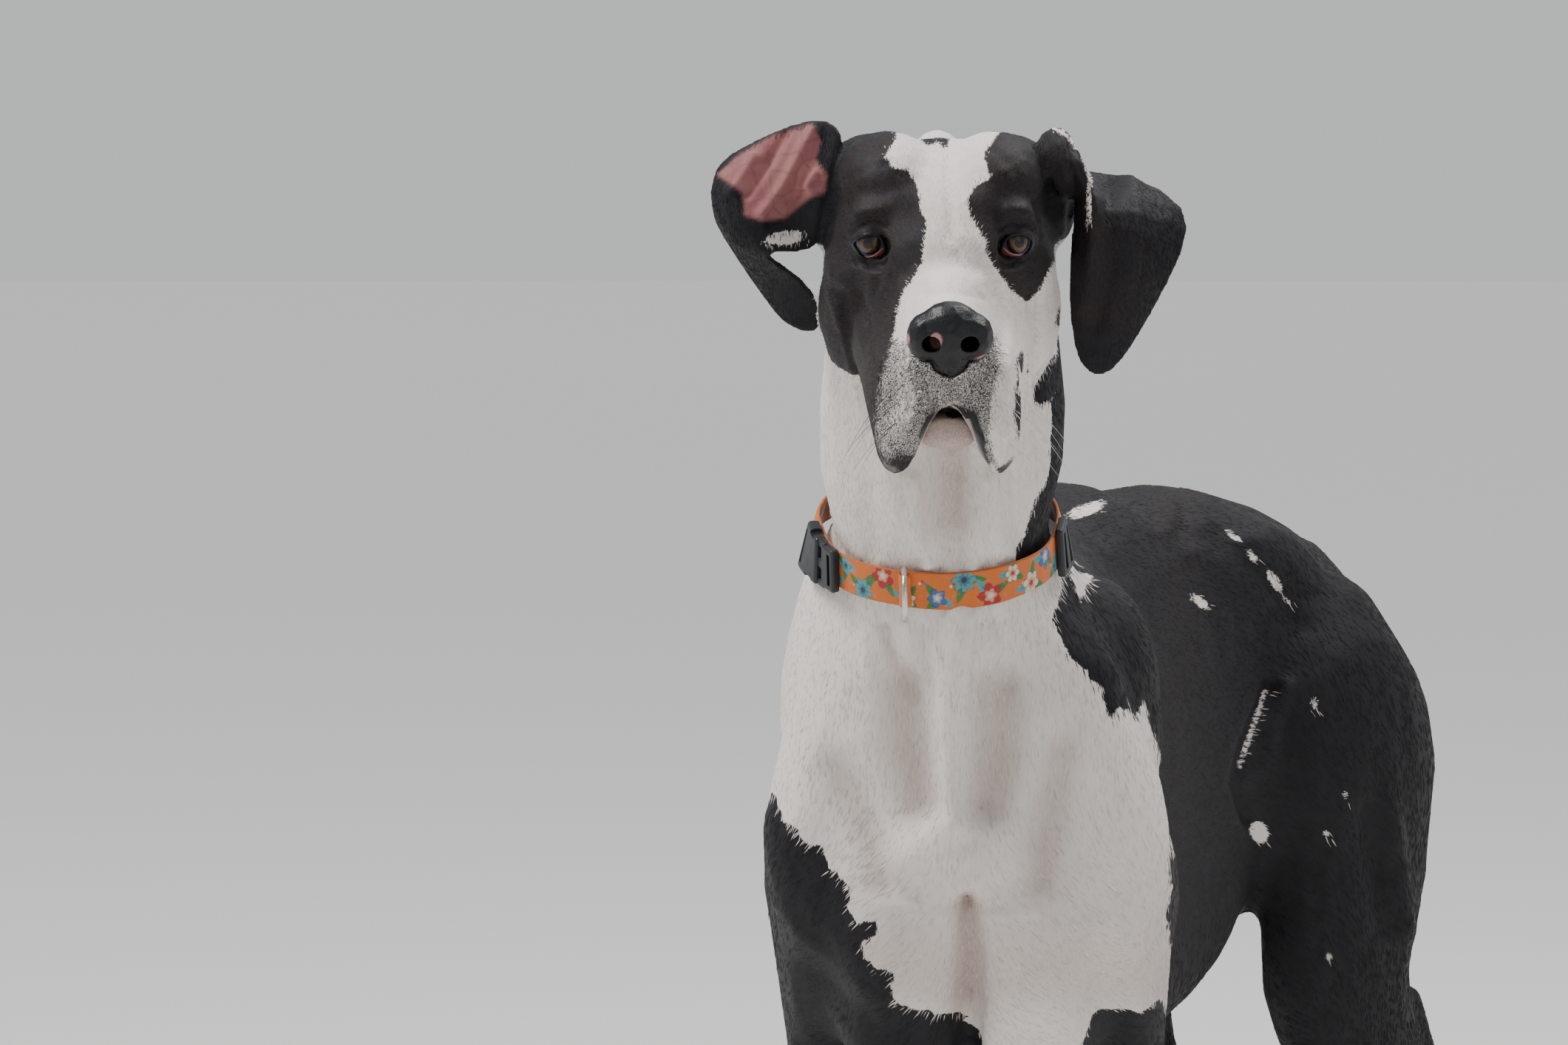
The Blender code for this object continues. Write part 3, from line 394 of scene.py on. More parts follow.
def ramp(tree, value, low, high):
    """0 at low, 1 at high, smooth between."""
    settings = {"interpolation_type": "SMOOTHSTEP"}
    return node(tree, "MapRange", settings, Value=value, From_Min=low, From_Max=high).outputs[0]


def coloured(tree, shader, colour):
    tree.links.new(colour, shader.inputs["Base Color"])


def roughened(tree, shader, value, low, high):
    """The roughness goes from low to high as the value goes from 0 to 1."""
    made = node(tree, "MapRange", Value=value, To_Min=low, To_Max=high)
    tree.links.new(made.outputs[0], shader.inputs["Roughness"])


def bumped(tree, shader, height, distance, strength=1.0):
    made = node(tree, "Bump", Height=height, Distance=distance, Strength=strength)
    tree.links.new(made.outputs[0], shader.inputs["Normal"])


def noise(tree, scale, detail=2.0, roughness=0.5, vector=None):
    made = node(tree, "TexNoise", Scale=scale, Detail=detail, Roughness=roughness)
    if vector is not None:
        tree.links.new(vector, made.inputs["Vector"])
    return made.outputs[0]


def attribute(tree, name):
    return node(tree, "Attribute", {"attribute_name": name})


def position(tree):
    return node(tree, "TexCoord").outputs["Object"]


# Markings

# Outlines in pixels of the photo. The white parts of the head, then dark spots on them.
BLAZE = [
    (1212, 120), (1212, 187), (1196, 212), (1208, 226), (1228, 232), (1240, 250), (1246, 285), (1254, 306),
    (1250, 326), (1248, 352), (1238, 372), (1224, 392), (1215, 415), (1211, 445), (1206, 480), (1198, 508),
    (1192, 530), (1190, 560), (1186, 585), (1196, 612), (1215, 600), (1240, 612), (1252, 588), (1262, 560),
    (1290, 548), (1315, 560), (1327, 592), (1330, 640), (1385, 622), (1400, 590), (1416, 560), (1430, 545),
    (1441, 480), (1460, 470), (1460, 318), (1436, 326), (1428, 350), (1414, 374), (1404, 396), (1388, 408),
    (1368, 392), (1354, 374), (1342, 356), (1333, 342), (1334, 328), (1322, 308), (1312, 292), (1309, 270),
    (1318, 252), (1340, 242), (1335, 226), (1330, 208), (1342, 192), (1352, 180), (1352, 120),
]
CROWN_SPOT = [(1240, 150), (1242, 186), (1254, 198), (1270, 192), (1278, 202), (1286, 184), (1284, 150)]
CHEEK_SPOT = [
    (1446, 462), (1422, 484), (1410, 502), (1397, 522), (1396, 542), (1408, 549), (1424, 540), (1436, 518),
]
EAR_BASE_SPOT = [(1446, 396), (1431, 418), (1427, 440), (1440, 446)]
LIP_SPOT = [
    (1381, 474), (1373, 490), (1377, 510), (1373, 534), (1372, 560), (1377, 590), (1385, 600), (1391, 578),
    (1387, 552), (1391, 528), (1390, 500), (1387, 482),
]
NOSE_SPECKLE = [
    (1230, 450), (1222, 500), (1232, 535), (1226, 570), (1216, 610), (1244, 622), (1252, 590), (1268, 556),
    (1290, 546), (1312, 556), (1322, 596), (1332, 628), (1352, 632), (1340, 590), (1346, 540), (1356, 500),
    (1350, 450),
]
FLEW_SPECKLE = [(1240, 450), (1205, 460), (1186, 510), (1178, 600), (1196, 630), (1240, 620), (1240, 560)]
# the chin: pink skin, in a darker tone that is painted shade
CHIN_PINK_SHADE = [(1256, 548), (1246, 640), (1280, 660), (1330, 640), (1320, 548)]
LIP_RIMS = [
    [(1176, 612), (1195, 630), (1220, 643), (1240, 634), (1253, 614)],
    [(1325, 598), (1334, 634), (1346, 648), (1360, 634), (1388, 611)],
    [(1248, 590), (1258, 566), (1290, 552), (1316, 562), (1328, 598)],
]
JAW = [
    (1060, 100), (1060, 432), (1108, 440), (1122, 488), (1140, 532), (1162, 562), (1180, 600), (1190, 645),
    (1250, 650), (1258, 570), (1318, 570), (1330, 655), (1402, 625), (1402, 552), (1440, 524), (1450, 470),
    (1510, 400), (1510, 100),
]
EAR_EDGE = [(1414, 168), (1442, 181), (1464, 207), (1474, 242), (1473, 300)]
SHOULDER_PATCH = [
    (960, 990), (1035, 1012), (1043, 1040), (1040, 1066), (1052, 1088), (1058, 1108), (1078, 1120),
    (1092, 1142), (1112, 1144), (1120, 1170), (1134, 1186), (1150, 1198), (1146, 1226), (1160, 1250),
    (1188, 1246), (1184, 1264), (1166, 1274), (1170, 1296), (1188, 1312), (1208, 1318), (1206, 1346),
    (1216, 1368), (1226, 1392), (1234, 1420), (1240, 1600), (960, 1600),
]
FLANK = [
    (1440, 600), (1440, 752), (1436, 800), (1424, 842), (1434, 864), (1452, 892), (1468, 908), (1490, 932),
    (1496, 958), (1504, 974), (1513, 956), (1526, 960), (1536, 970), (1548, 946), (1556, 985), (1570, 1020),
    (1575, 1050), (1582, 1080), (1590, 1140), (1580, 1160), (1585, 1200), (1578, 1230), (1587, 1290),
    (1590, 1350), (1585, 1400), (1580, 1600), (2300, 1600), (2300, 600),
]
COLLAR_STREAK = [
    (1440, 680), (1456, 708), (1474, 748), (1482, 772), (1470, 792), (1462, 816), (1452, 790), (1440, 750),
]
KNEE_SPOT = [
    (1448, 1398), (1458, 1382), (1478, 1378), (1494, 1392), (1504, 1408), (1500, 1440), (1450, 1440),
]
# White flecks on the dark side: middle, half width and half height, and turn in degrees.
FLECKS = [
    (1622, 814, 14, 6, -38), (1672, 728, 7, 3, -40), (1693, 752, 9, 4, -50), (1724, 786, 16, 6, -58),
    (1778, 951, 5, 7, 0), (1703, 1126, 12, 15, 20), (1664, 722, 8, 3, -40), (1794, 1128, 4, 4, 0),
    (1798, 1295, 4, 5, 0), (1820, 1076, 3, 4, 0), (1741, 812, 5, 3, -50), (1468, 690, 26, 8, 20),
]
FLANK_LINE = [(1712, 935), (1699, 972), (1686, 1008), (1677, 1036)]
MM_PER_PIXEL = 0.54


def line_distance(points, line):
    """How far points lie from a line of two or more points."""
    line = np.array(line, float)
    nearest = np.full(len(points), 1e9)
    for a, b in zip(line, line[1:]):
        edge, away = b - a, points - a
        t = np.clip(away @ edge / max(edge @ edge, 1e-9), 0, 1)
        nearest = np.minimum(nearest, np.linalg.norm(away - t[:, None] * edge, axis=1))
    return nearest


def inside(points, outline):
    """How far inside an outline points lie, in millimetres; below 0 outside."""
    outline = np.array(outline, float)
    within = np.zeros(len(points), bool)
    for a, b in zip(outline, np.roll(outline, -1, axis=0)):
        crosses = (a[1] > points[:, 1]) != (b[1] > points[:, 1])
        rise = b[1] - a[1]
        at = a[0] + (b[0] - a[0]) * (points[:, 1] - a[1]) / (rise if rise else 1e-9)
        within ^= crosses & (points[:, 0] < at)
    distance = line_distance(points, np.concatenate([outline, outline[:1]]))
    return np.where(within, distance, -distance) * MM_PER_PIXEL


def oval(points, across, down, half_width, half_height, turn):
    """As inside(), for an oval."""
    turn = math.radians(turn)
    x, y = points[:, 0] - across, points[:, 1] - down
    along, aside = x * math.cos(turn) - y * math.sin(turn), x * math.sin(turn) + y * math.cos(turn)
    within = 1 - np.hypot(along / half_width, aside / half_height)
    return within * min(half_width, half_height) * MM_PER_PIXEL


def wobble(co, size, seed=0.0):
    """A smooth, uneven pattern of points, between -1 and 1, with bumps of about that size."""
    total = np.zeros(len(co))
    waves = ((1.0, 1.7, 0.6), (-1.3, 0.8, 1.5), (0.7, -1.1, 1.9), (1.9, 1.2, -0.8))
    for k, wave in enumerate(waves):
        phase = seed + 1.7 * k
        bent = 1.5 * np.sin(co @ np.array([wave[2], wave[0], wave[1]]) * 3 / size + phase)
        total += np.sin(co @ np.array(wave) * 3 / size + phase + bent)
    return total / 4


def seen(co, normal):
    """1 where the photo shows the point, 0 where it can't."""
    facing = -(normal @ np.array(CAMERA_AHEAD))
    return smoothstep(facing, 0.0, 0.16) * smoothstep(-photo_points(co)[:, 1], -1400, -1330)


def head_marks(co, normal, ear):
    """Millimetres inside the dark coat, how speckled it is, how much pink skin and painted shade darken it,
    and how brown and lip-like it is, for the head.
    """
    photo = photo_points(co)
    hx, hy, hz = to_head(co).T * 1000
    shown = seen(co, normal)
    neck = smoothstep(-co[:, 2], -0.99, -0.93) * smoothstep(hy, -60, -20)
    # what the photo shows
    front = -inside(photo, BLAZE)
    for spot in (CROWN_SPOT, CHEEK_SPOT, EAR_BASE_SPOT, LIP_SPOT):
        front = np.maximum(front, inside(photo, spot))
    # what it can't show
    crown = np.minimum(24 - np.abs(hx + 2), np.minimum(hz - 30, 96 - hy))
    left_cheek = np.minimum(np.minimum(-hz + 2, hx - 20), 100 - hy)
    muzzle = np.minimum(-hy - 45, hx + 24)
    unseen = -np.maximum(np.maximum(crown, left_cheek), muzzle)
    dark = front * shown + unseen * (1 - shown)
    # the neck: white all round but for the nape
    straight = to_straight(co)
    from_rear = np.degrees(np.arctan2(straight[:, 0] + 0.022, straight[:, 1] - 0.016))
    nape = np.minimum(from_rear + 48, 110 - from_rear) * 1.4 + wobble(co, 0.06, 3.0) * 14
    below_head = np.minimum(-hz - 62, 200) + smoothstep(hy, 20, 60) * 60
    rear_limit = np.interp(photo[:, 1], [480, 570], [60.0, -30.0])
    on_head = smoothstep(inside(photo, JAW), -2, 2) * smoothstep(rear_limit - hy, 0, 12)
    on_head = np.maximum(on_head, smoothstep(inside(photo, CHEEK_SPOT), -3, 1) * shown)
    throat = smoothstep(below_head, 0, 14) * (1 - on_head)
    behind = smoothstep(hy, 98, 118)
    neck = np.maximum(throat, behind)
    dark = dark * (1 - neck) + nape * neck
    edge = np.minimum(line_distance(photo, EAR_EDGE) * MM_PER_PIXEL - 1.3, -oval(photo, 1062, 322, 26, 9, 8))
    dark = np.where(ear > 0.5, np.where(shown > 0.5, np.minimum(12, edge), 12), dark)
    speckle = smoothstep(inside(photo, NOSE_SPECKLE), -2, 4)
    speckle = np.maximum(speckle, 0.8 * smoothstep(inside(photo, FLEW_SPECKLE), -2, 6))
    speckle = speckle * shown * (1 - neck) * (hy < -60)
    # the chin: pink skin, in a darker tone that is painted shade
    warm = smoothstep(inside(photo, CHIN_PINK_SHADE), -2, 3) * shown * (hy < -40)
    # painted shade on the throat under the chin, between the flews
    shade_under_chin = np.exp(-((line_distance(photo, [(1290, 600), (1289, 700)]) / 34) ** 2)) * shown * (hy > -40)
    warm = np.maximum(warm, 0.75 * shade_under_chin)
    brown = smoothstep(hy, 60, 10) * (1 - neck)
    rims = [smoothstep(-line_distance(photo, rim), -7.5, -4.5) for rim in LIP_RIMS]
    lips = np.max(rims, axis=0) * shown * (hy < -60)
    return dark + wobble(co, 0.006) * 1.5, speckle, warm, brown, lips


PINK_EAR = [
    (1098, 166), (1046, 182), (1002, 206), (968, 236), (988, 250), (1004, 262), (1006, 292), (1032, 300),
    (1062, 296), (1096, 268), (1118, 262), (1120, 238), (1104, 214), (1112, 190),
]


def body_marks(co, normal):
    """The same for the body."""
    photo = photo_points(co)
    x, y, z = to_straight(co).T
    shown = seen(co, normal)
    front = np.maximum(inside(photo, SHOULDER_PATCH), inside(photo, FLANK))
    front = np.maximum(front, inside(photo, KNEE_SPOT))
    front = np.minimum(front, -inside(photo, COLLAR_STREAK))
    # what the chest and neck hide in the photo is dark, as the flank is
    front = np.maximum(front, np.minimum((y - 0.215) * 1000 + wobble(co, 0.03) * 12, 20))
    # the parts that the photo can't show
    edge = np.where(x > 0, 0.07, np.interp(z, [0.50, 0.66, 0.72, 0.85], [0.02, 0.07, 0.15, 0.20]))
    unseen = (y - edge) * 1000
    belly = np.minimum((-normal[:, 2] - 0.75) * 60, 45 - np.abs(x) * 1000)
    belly = np.minimum(belly, (0.60 - y) * 1000)
    unseen = np.minimum(unseen, -belly)
    from_rear = np.degrees(np.arctan2(x + 0.022, y - 0.062))
    nape = np.minimum(from_rear + 50, 108 - from_rear) * 1.4
    high = smoothstep(z, 0.74, 0.80) * (y < 0.2)
    unseen = unseen * (1 - high) + nape * high
    fleck = wobble(co, 0.075, 4.0) * 30 - 25
    unseen = np.minimum(unseen, -fleck)
    dark = front * shown + unseen * (1 - shown)
    # legs and tail
    fore = (y < 0.40) & (z < 0.49)
    left_sock = np.maximum((z - 0.45) * 1000, np.minimum((x - 0.118) * 3000, (z - 0.30) * 1000))
    sock = np.where(x < 0, (z - 0.40) * 1000, left_sock)
    blots = wobble(co, 0.05, 2.0) * 26 - 15
    low = smoothstep(-z, -0.46, -0.43)
    dark = np.where(fore, dark * (1 - low) + np.maximum(sock, blots) * low, dark)
    hind = (y >= 0.55) & (z < 0.45) & (np.abs(x) > 0.03)
    dark = np.where(hind, np.maximum((z - 0.19 - 0.03 * np.sin(y * 60)) * 1000, blots), dark)
    tail = (y > 0.79) & (np.abs(x) < 0.045)
    dark = np.where(tail, (z - 0.31) * 1000, dark)
    # the lower chest and the deep hollows by the sternum: pink skin showing through, and painted shade
    deep = [stroke for stroke in CHEST_STROKES if stroke[2] < DEEP_HOLLOW]
    hollow_shade = [np.exp(-((line_distance(photo, line) / width) ** 2)) for line, width, _ in deep]
    warm = (0.45 * smoothstep(photo[:, 1], 1120, 1330) + 0.55 * np.max(hollow_shade, axis=0)) * shown
    warm += 0.5 * smoothstep(belly, -4, 4)
    brown = (0.22 + 0.4 * smoothstep(-np.abs(photo[:, 0] - 1590), -70, 0)) * shown + 0.15 * (1 - shown)
    dark = dark + wobble(co, 0.016) * 2.5
    thin = line_distance(photo, FLANK_LINE) * MM_PER_PIXEL - 1.9
    for spot in FLECKS:
        thin = np.minimum(thin, wobble(co, 0.006) - oval(photo, *spot))
    dark = np.where(shown > 0.5, np.minimum(dark, thin), dark)
    return dark, 0.0, warm, brown, 0.0


# Relief

# Folds and ridges: a line in pixels of the photo, its half width there, and its height in millimetres.
EAR_STROKES = [
    ([(1100, 178), (1082, 210), (1060, 250), (1030, 290)], 8, 3.0),
    ([(1060, 182), (1040, 220), (1010, 262)], 7, -2.2),
    ([(1104, 236), (1094, 252), (1100, 262)], 7, 3.0), ([(1020, 212), (1004, 240), (988, 262)], 6, 1.8),
    ([(1078, 262), (1060, 288), (1040, 304)], 5, -1.8),
    ([(1476, 230), (1478, 320), (1462, 420)], 9, 1.6), ([(1500, 250), (1506, 340), (1486, 440)], 11, -1.8),
    ([(1530, 240), (1540, 300), (1530, 380)], 12, 1.4), ([(1448, 190), (1452, 260), (1448, 330)], 6, -1.6),
]
FACE_STROKES = [
    ([(1215, 270)], 20, 2.4), ([(1333, 266)], 20, 2.4),  # brows
    ([(1148, 320), (1160, 303), (1180, 297), (1198, 306)], 4.5, -1.3),
    ([(1352, 312), (1368, 301), (1388, 302), (1406, 316)], 4.5, -1.3),
    ([(1150, 300), (1168, 284), (1192, 284)], 7, 1.0), ([(1360, 286), (1382, 284), (1404, 298)], 7, 1.0),
    ([(1158, 356), (1178, 362), (1197, 354)], 5, -0.9), ([(1356, 354), (1376, 360), (1398, 350)], 5, -0.9),
    ([(1196, 352), (1190, 372), (1180, 400)], 6, -1.0), ([(1355, 352), (1362, 375), (1372, 396)], 6, -0.8),
    ([(1126, 310), (1118, 345), (1124, 395), (1142, 450), (1154, 500), (1166, 560)], 7, 1.6),
    ([(1160, 400), (1172, 440), (1182, 490), (1186, 540)], 9, -2.2),
    ([(1140, 400), (1150, 450), (1160, 490)], 7, -1.2),
    ([(1222, 392), (1212, 430), (1206, 480), (1196, 530), (1184, 585)], 8, 1.6),
    ([(1236, 520), (1226, 560), (1222, 610)], 5, -1.0), ([(1210, 520), (1204, 560), (1206, 606)], 5, -0.9),
    ([(1348, 378), (1362, 430), (1366, 480), (1362, 540), (1358, 590)], 7, 1.5),
    ([(1378, 420), (1378, 470), (1368, 520), (1370, 580)], 5, -1.2),
    ([(1394, 405), (1394, 450), (1392, 500), (1394, 550)], 4, 1.3),
    ([(1406, 410), (1403, 470), (1398, 530)], 5, -1.5),
    ([(1338, 540), (1336, 580), (1340, 620)], 5, -0.9),
    ([(1262, 384), (1290, 378), (1322, 384)], 12, 1.8), ([(1250, 400), (1290, 396), (1332, 404)], 4, -1.0),
    ([(1284, 200), (1284, 250), (1286, 320)], 9, -1.0),
    ([(1345, 205), (1368, 225), (1392, 262)], 6, -0.6), ([(1360, 250), (1386, 268)], 6, -0.5),
    ([(1150, 240), (1178, 226), (1204, 222)], 6, -0.6),
]
NECK_STROKES = [
    ([(1234, 650), (1238, 700), (1246, 742)], 11, 3.0), ([(1336, 650), (1342, 700), (1344, 738)], 12, 3.5),
    ([(1284, 640), (1286, 700), (1290, 745)], 16, -3.0), ([(1255, 762)], 9, 2.5), ([(1290, 778)], 10, 2.5),
    ([(1314, 772)], 8, 2.5), ([(1345, 772)], 9, 2.5), ([(1272, 772)], 4, -1.5), ([(1302, 778)], 3.5, -1.8),
    ([(1372, 640), (1376, 700), (1380, 740)], 9, -1.5), ([(1180, 660), (1176, 700), (1182, 740)], 12, -1.2),
]
DEEP_HOLLOW = -2.4  # hollows deeper than this show pink skin and painted shade
CHEST_STROKES = [
    ([(1296, 835), (1290, 900), (1286, 980), (1284, 1060), (1286, 1110)], 24, 6.0),
    ([(1222, 930), (1230, 1010), (1244, 1085)], 32, -9.0),
    ([(1356, 930), (1352, 1010), (1338, 1085)], 30, -9.0),
    ([(1322, 842), (1320, 900), (1314, 960)], 6, -2.0), ([(1196, 850), (1210, 900), (1228, 950)], 8, -2.5),
    ([(1250, 850), (1256, 900), (1258, 950)], 6, -1.6), ([(1350, 842), (1366, 890), (1372, 930)], 9, -2.0),
    ([(1170, 860), (1176, 920)], 10, 1.6), ([(1226, 850), (1236, 910)], 9, 1.8),
    ([(1188, 1222), (1240, 1234), (1300, 1240), (1350, 1240), (1402, 1233)], 6, 1.4),
    ([(1308, 1228), (1311, 1300), (1308, 1420)], 16, -9.0), ([(1308, 1232)], 10, -5.0),
    ([(1240, 1160), (1300, 1190), (1360, 1160)], 30, 3.0),
    ([(1130, 1040), (1170, 1110), (1190, 1190)], 26, -3.0),
    ([(1440, 1010), (1420, 1100), (1410, 1190)], 26, -3.0),
    ([(1060, 900), (1070, 1010), (1090, 1100)], 30, 2.5),
    ([(1500, 1000), (1510, 1100), (1506, 1250)], 30, 2.5),
    ([(1880, 1090), (1892, 1170), (1902, 1260)], 12, 3.0),
    ([(1850, 1100), (1862, 1180), (1872, 1260)], 14, -3.0),
    ([(1720, 930), (1700, 972), (1684, 1012), (1674, 1060), (1690, 1110)], 10, -4.0),
    ([(1740, 930), (1722, 980), (1708, 1040)], 14, 2.5),
    ([(1600, 720), (1660, 735), (1720, 790), (1760, 850)], 18, -1.6),
]


def relief(mesh, strokes, strength=1.0):
    co, normal = points_of(mesh), normals_of(mesh)
    photo = photo_points(co)
    facing = smoothstep(-(normal @ np.array(CAMERA_AHEAD)), 0.10, 0.40)
    height = np.zeros(len(co))
    for line, width, high in strokes:
        line = line * 2 if len(line) == 1 else line
        reach = 3 * width
        low, top = np.min(line, axis=0) - reach, np.max(line, axis=0) + reach
        near = np.flatnonzero(((photo > low) & (photo < top)).all(axis=1))
        height[near] += high * np.exp(-((line_distance(photo[near], line) / width) ** 2))
    set_points(mesh, co + normal * (height * facing * 0.001 * strength)[:, None])


# Skins

HEAD_NODES = ("head", "neck", "ear_left", "ear_right")
BODY_NODES = ("torso", "neck", "tail", "foreleg_left", "foreleg_right", "hindleg_left", "hindleg_right")


def turn_neck(co):
    turn = NECK_TURN * smoothstep(co[:, 2], 0.78, 1.00)
    lean = NECK_LEAN * smoothstep(co[:, 2], 0.60, 0.86)
    x, y = co[:, 0] + lean, co[:, 1] - NECK_AXIS_Y
    turned = [x * np.cos(turn) - y * np.sin(turn), NECK_AXIS_Y + x * np.sin(turn) + y * np.cos(turn)]
    return np.stack([*turned, co[:, 2]], axis=1)


COLLAR_PLACE = (
    Matrix.Translation(Vector(pose_trunk(turn_neck(np.array([COLLAR_MIDDLE])))[0]) + SHIFT)
    @ Matrix.Rotation(FRONT_TURN, 4, "Z")
    @ Matrix.Rotation(COLLAR_TILT, 4, "X")
)


def above_collar(co):
    """Height above the collar's middle plane."""
    return (co - np.array(COLLAR_PLACE.translation)) @ np.array(COLLAR_PLACE.to_3x3() @ Vector((0, 0, 1)))


def tree_of(mesh):
    co = points_of(mesh)
    return BVHTree.FromPolygons(co.tolist(), [tuple(p.vertices) for p in mesh.polygons])


def near_node(co, name, reach):
    """1 for the points that lie within reach of a solid's surface, else 0."""
    low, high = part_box(name)
    low, high = np.array(low) - reach, np.array(high) + reach
    tree = tree_of(nodes[name].data)
    found = np.zeros(len(co))
    for i in np.flatnonzero(((co > low) & (co < high)).all(axis=1)):
        found[i] = tree.find_nearest(co[i], reach)[0] is not None
    return found


def make_body_skin():
    mesh = melted(BODY_NODES, BODY_VOXEL)
    relax(mesh, 26)
    keep_where(mesh, above_collar(points_of(mesh)) < 0.003)
    co = points_of(mesh)
    depth = 0.0008 + 0.0014 * smoothstep(co[:, 2], 0.05, 0.20)
    set_points(mesh, co - normals_of(mesh) * (depth + GROW)[:, None])
    relief(mesh, CHEST_STROKES, 1.9)
    return mesh


def make_head_skin():
    mesh = melted(HEAD_NODES, HEAD_VOXEL)
    relax(mesh, 9)
    keep_where(mesh, above_collar(points_of(mesh)) > -0.003)
    co = points_of(mesh)
    ear = np.maximum(near_node(co, "ear_left", 0.0012), near_node(co, "ear_right", 0.0012))
    pairs = edges_of(mesh)
    soft = ear[:, None]
    for _ in range(4):
        soft = 0.5 * soft + 0.5 * spread(soft, pairs, len(co))
    depth = 0.0013 - 0.0009 * soft[:, 0]
    set_points(mesh, co - normals_of(mesh) * (depth + GROW)[:, None])
    add_attribute(mesh, "ear", soft[:, 0])
    return mesh


def ear_of(mesh):
    values = np.empty(len(mesh.vertices), np.float32)
    mesh.attributes["ear"].data.foreach_get("value", values)
    return values


# Eyes

# The opening between the lids and the pink corner, in pixels of the photo; and the middle of the iris.
EYES = {
    "eye_right": {
        "opening": [
            (1156, 329), (1162, 324), (1170, 320.5), (1180, 319), (1188, 321.5), (1193, 328), (1195.5, 337),
            (1193, 344), (1185, 347.5), (1175, 349.5), (1167, 346), (1161, 338),
        ],
        "haw": [
            (1199, 333), (1193, 336), (1185, 343), (1174, 347.5),
            (1164, 347), (1168, 353), (1185, 354), (1200, 350),
        ],
        "iris": (1174, 330),
    },
    "eye_left": {
        "opening": [
            (1397, 327), (1391, 321.5), (1384, 319), (1376, 318.5), (1368, 320.5), (1361, 326), (1357, 334),
            (1355, 342), (1362, 345.5), (1372, 346), (1382, 345), (1389, 341), (1394, 334),
        ],
        "haw": [
            (1353, 332), (1359, 336), (1366, 342), (1378, 344.5),
            (1390, 344.5), (1384, 351), (1366, 352), (1351, 349),
        ],
        "iris": (1379, 328.5),
    },
}
IRIS_RADIUS, PUPIL_RADIUS = 0.0080, 0.0031


def camera_ray(pixel):
    across = (pixel[0] - PHOTO_WIDTH / 2) / FOCAL_PIXELS
    down = (pixel[1] - PHOTO_HEIGHT / 2) / FOCAL_PIXELS
    return (CAMERA_AHEAD + CAMERA_RIGHT * across - CAMERA_TOP * down).normalized()


def on_ball(pixel, middle, radius):
    """Where the photo's pixel lies on the eyeball, or on its rim if it misses the ball."""
    ray = camera_ray(pixel)
    to_middle = middle - CAMERA_PLACE
    nearest = CAMERA_PLACE + ray * to_middle.dot(ray)
    away = nearest - middle
    if away.length > radius * 0.98:
        return middle + away.normalized() * radius
    return nearest - ray * math.sqrt(radius**2 - away.length**2)


def closed_curve(points, count):
    """Evenly spaced points on a smooth closed curve through the given ones."""
    points = np.array(points, float)
    a, b, c, d = (np.roll(points, k, axis=0) for k in (1, 0, -1, -2))
    fine = []
    for t in np.linspace(0, 1, 16, endpoint=False):
        square, cube = 2 * a - 5 * b + 4 * c - d, 3 * b - a - 3 * c + d
        fine.append(0.5 * (2 * b + (c - a) * t + square * t**2 + cube * t**3))
    fine = np.stack(fine, axis=1).reshape(-1, points.shape[1])
    closed = np.concatenate([fine, fine[:1]])
    length = np.concatenate([[0], np.cumsum(np.linalg.norm(np.diff(closed, axis=0), axis=1))])
    at = np.linspace(0, length[-1], count, endpoint=False)
    return np.stack([np.interp(at, length, closed[:, k]) for k in range(points.shape[1])], axis=1)


def eye_frame(name):
    """The eyeball's middle, and its outward, sideways and upward directions."""
    side = 1 if name == "eye_left" else -1
    outward = Vector((side * math.sin(EYE_SPLAY), -math.cos(EYE_SPLAY), 0.0))
    outward = (HEAD_PLACE.to_3x3() @ outward).normalized()
    sideways = Vector((0, 0, 1)).cross(outward).normalized()
    return box_middle(name), outward, sideways, outward.cross(sideways)


# Rings of a lid: how far out from the opening, how far above the eyeball, in millimetres.
LID_RINGS = (
    (-0.5, -0.6), (0.0, 0.15), (0.25, 1.0), (0.7, 1.55), (1.3, 1.8), (1.9, 1.75), (2.5, 1.6), (3.2, 1.7),
    (4.1, 2.1), (5.2, 2.5), (6.6, 2.7), (8.2, 2.8), (10.0, 2.8), (12.0, 2.8),
)
LID_POINTS = 72


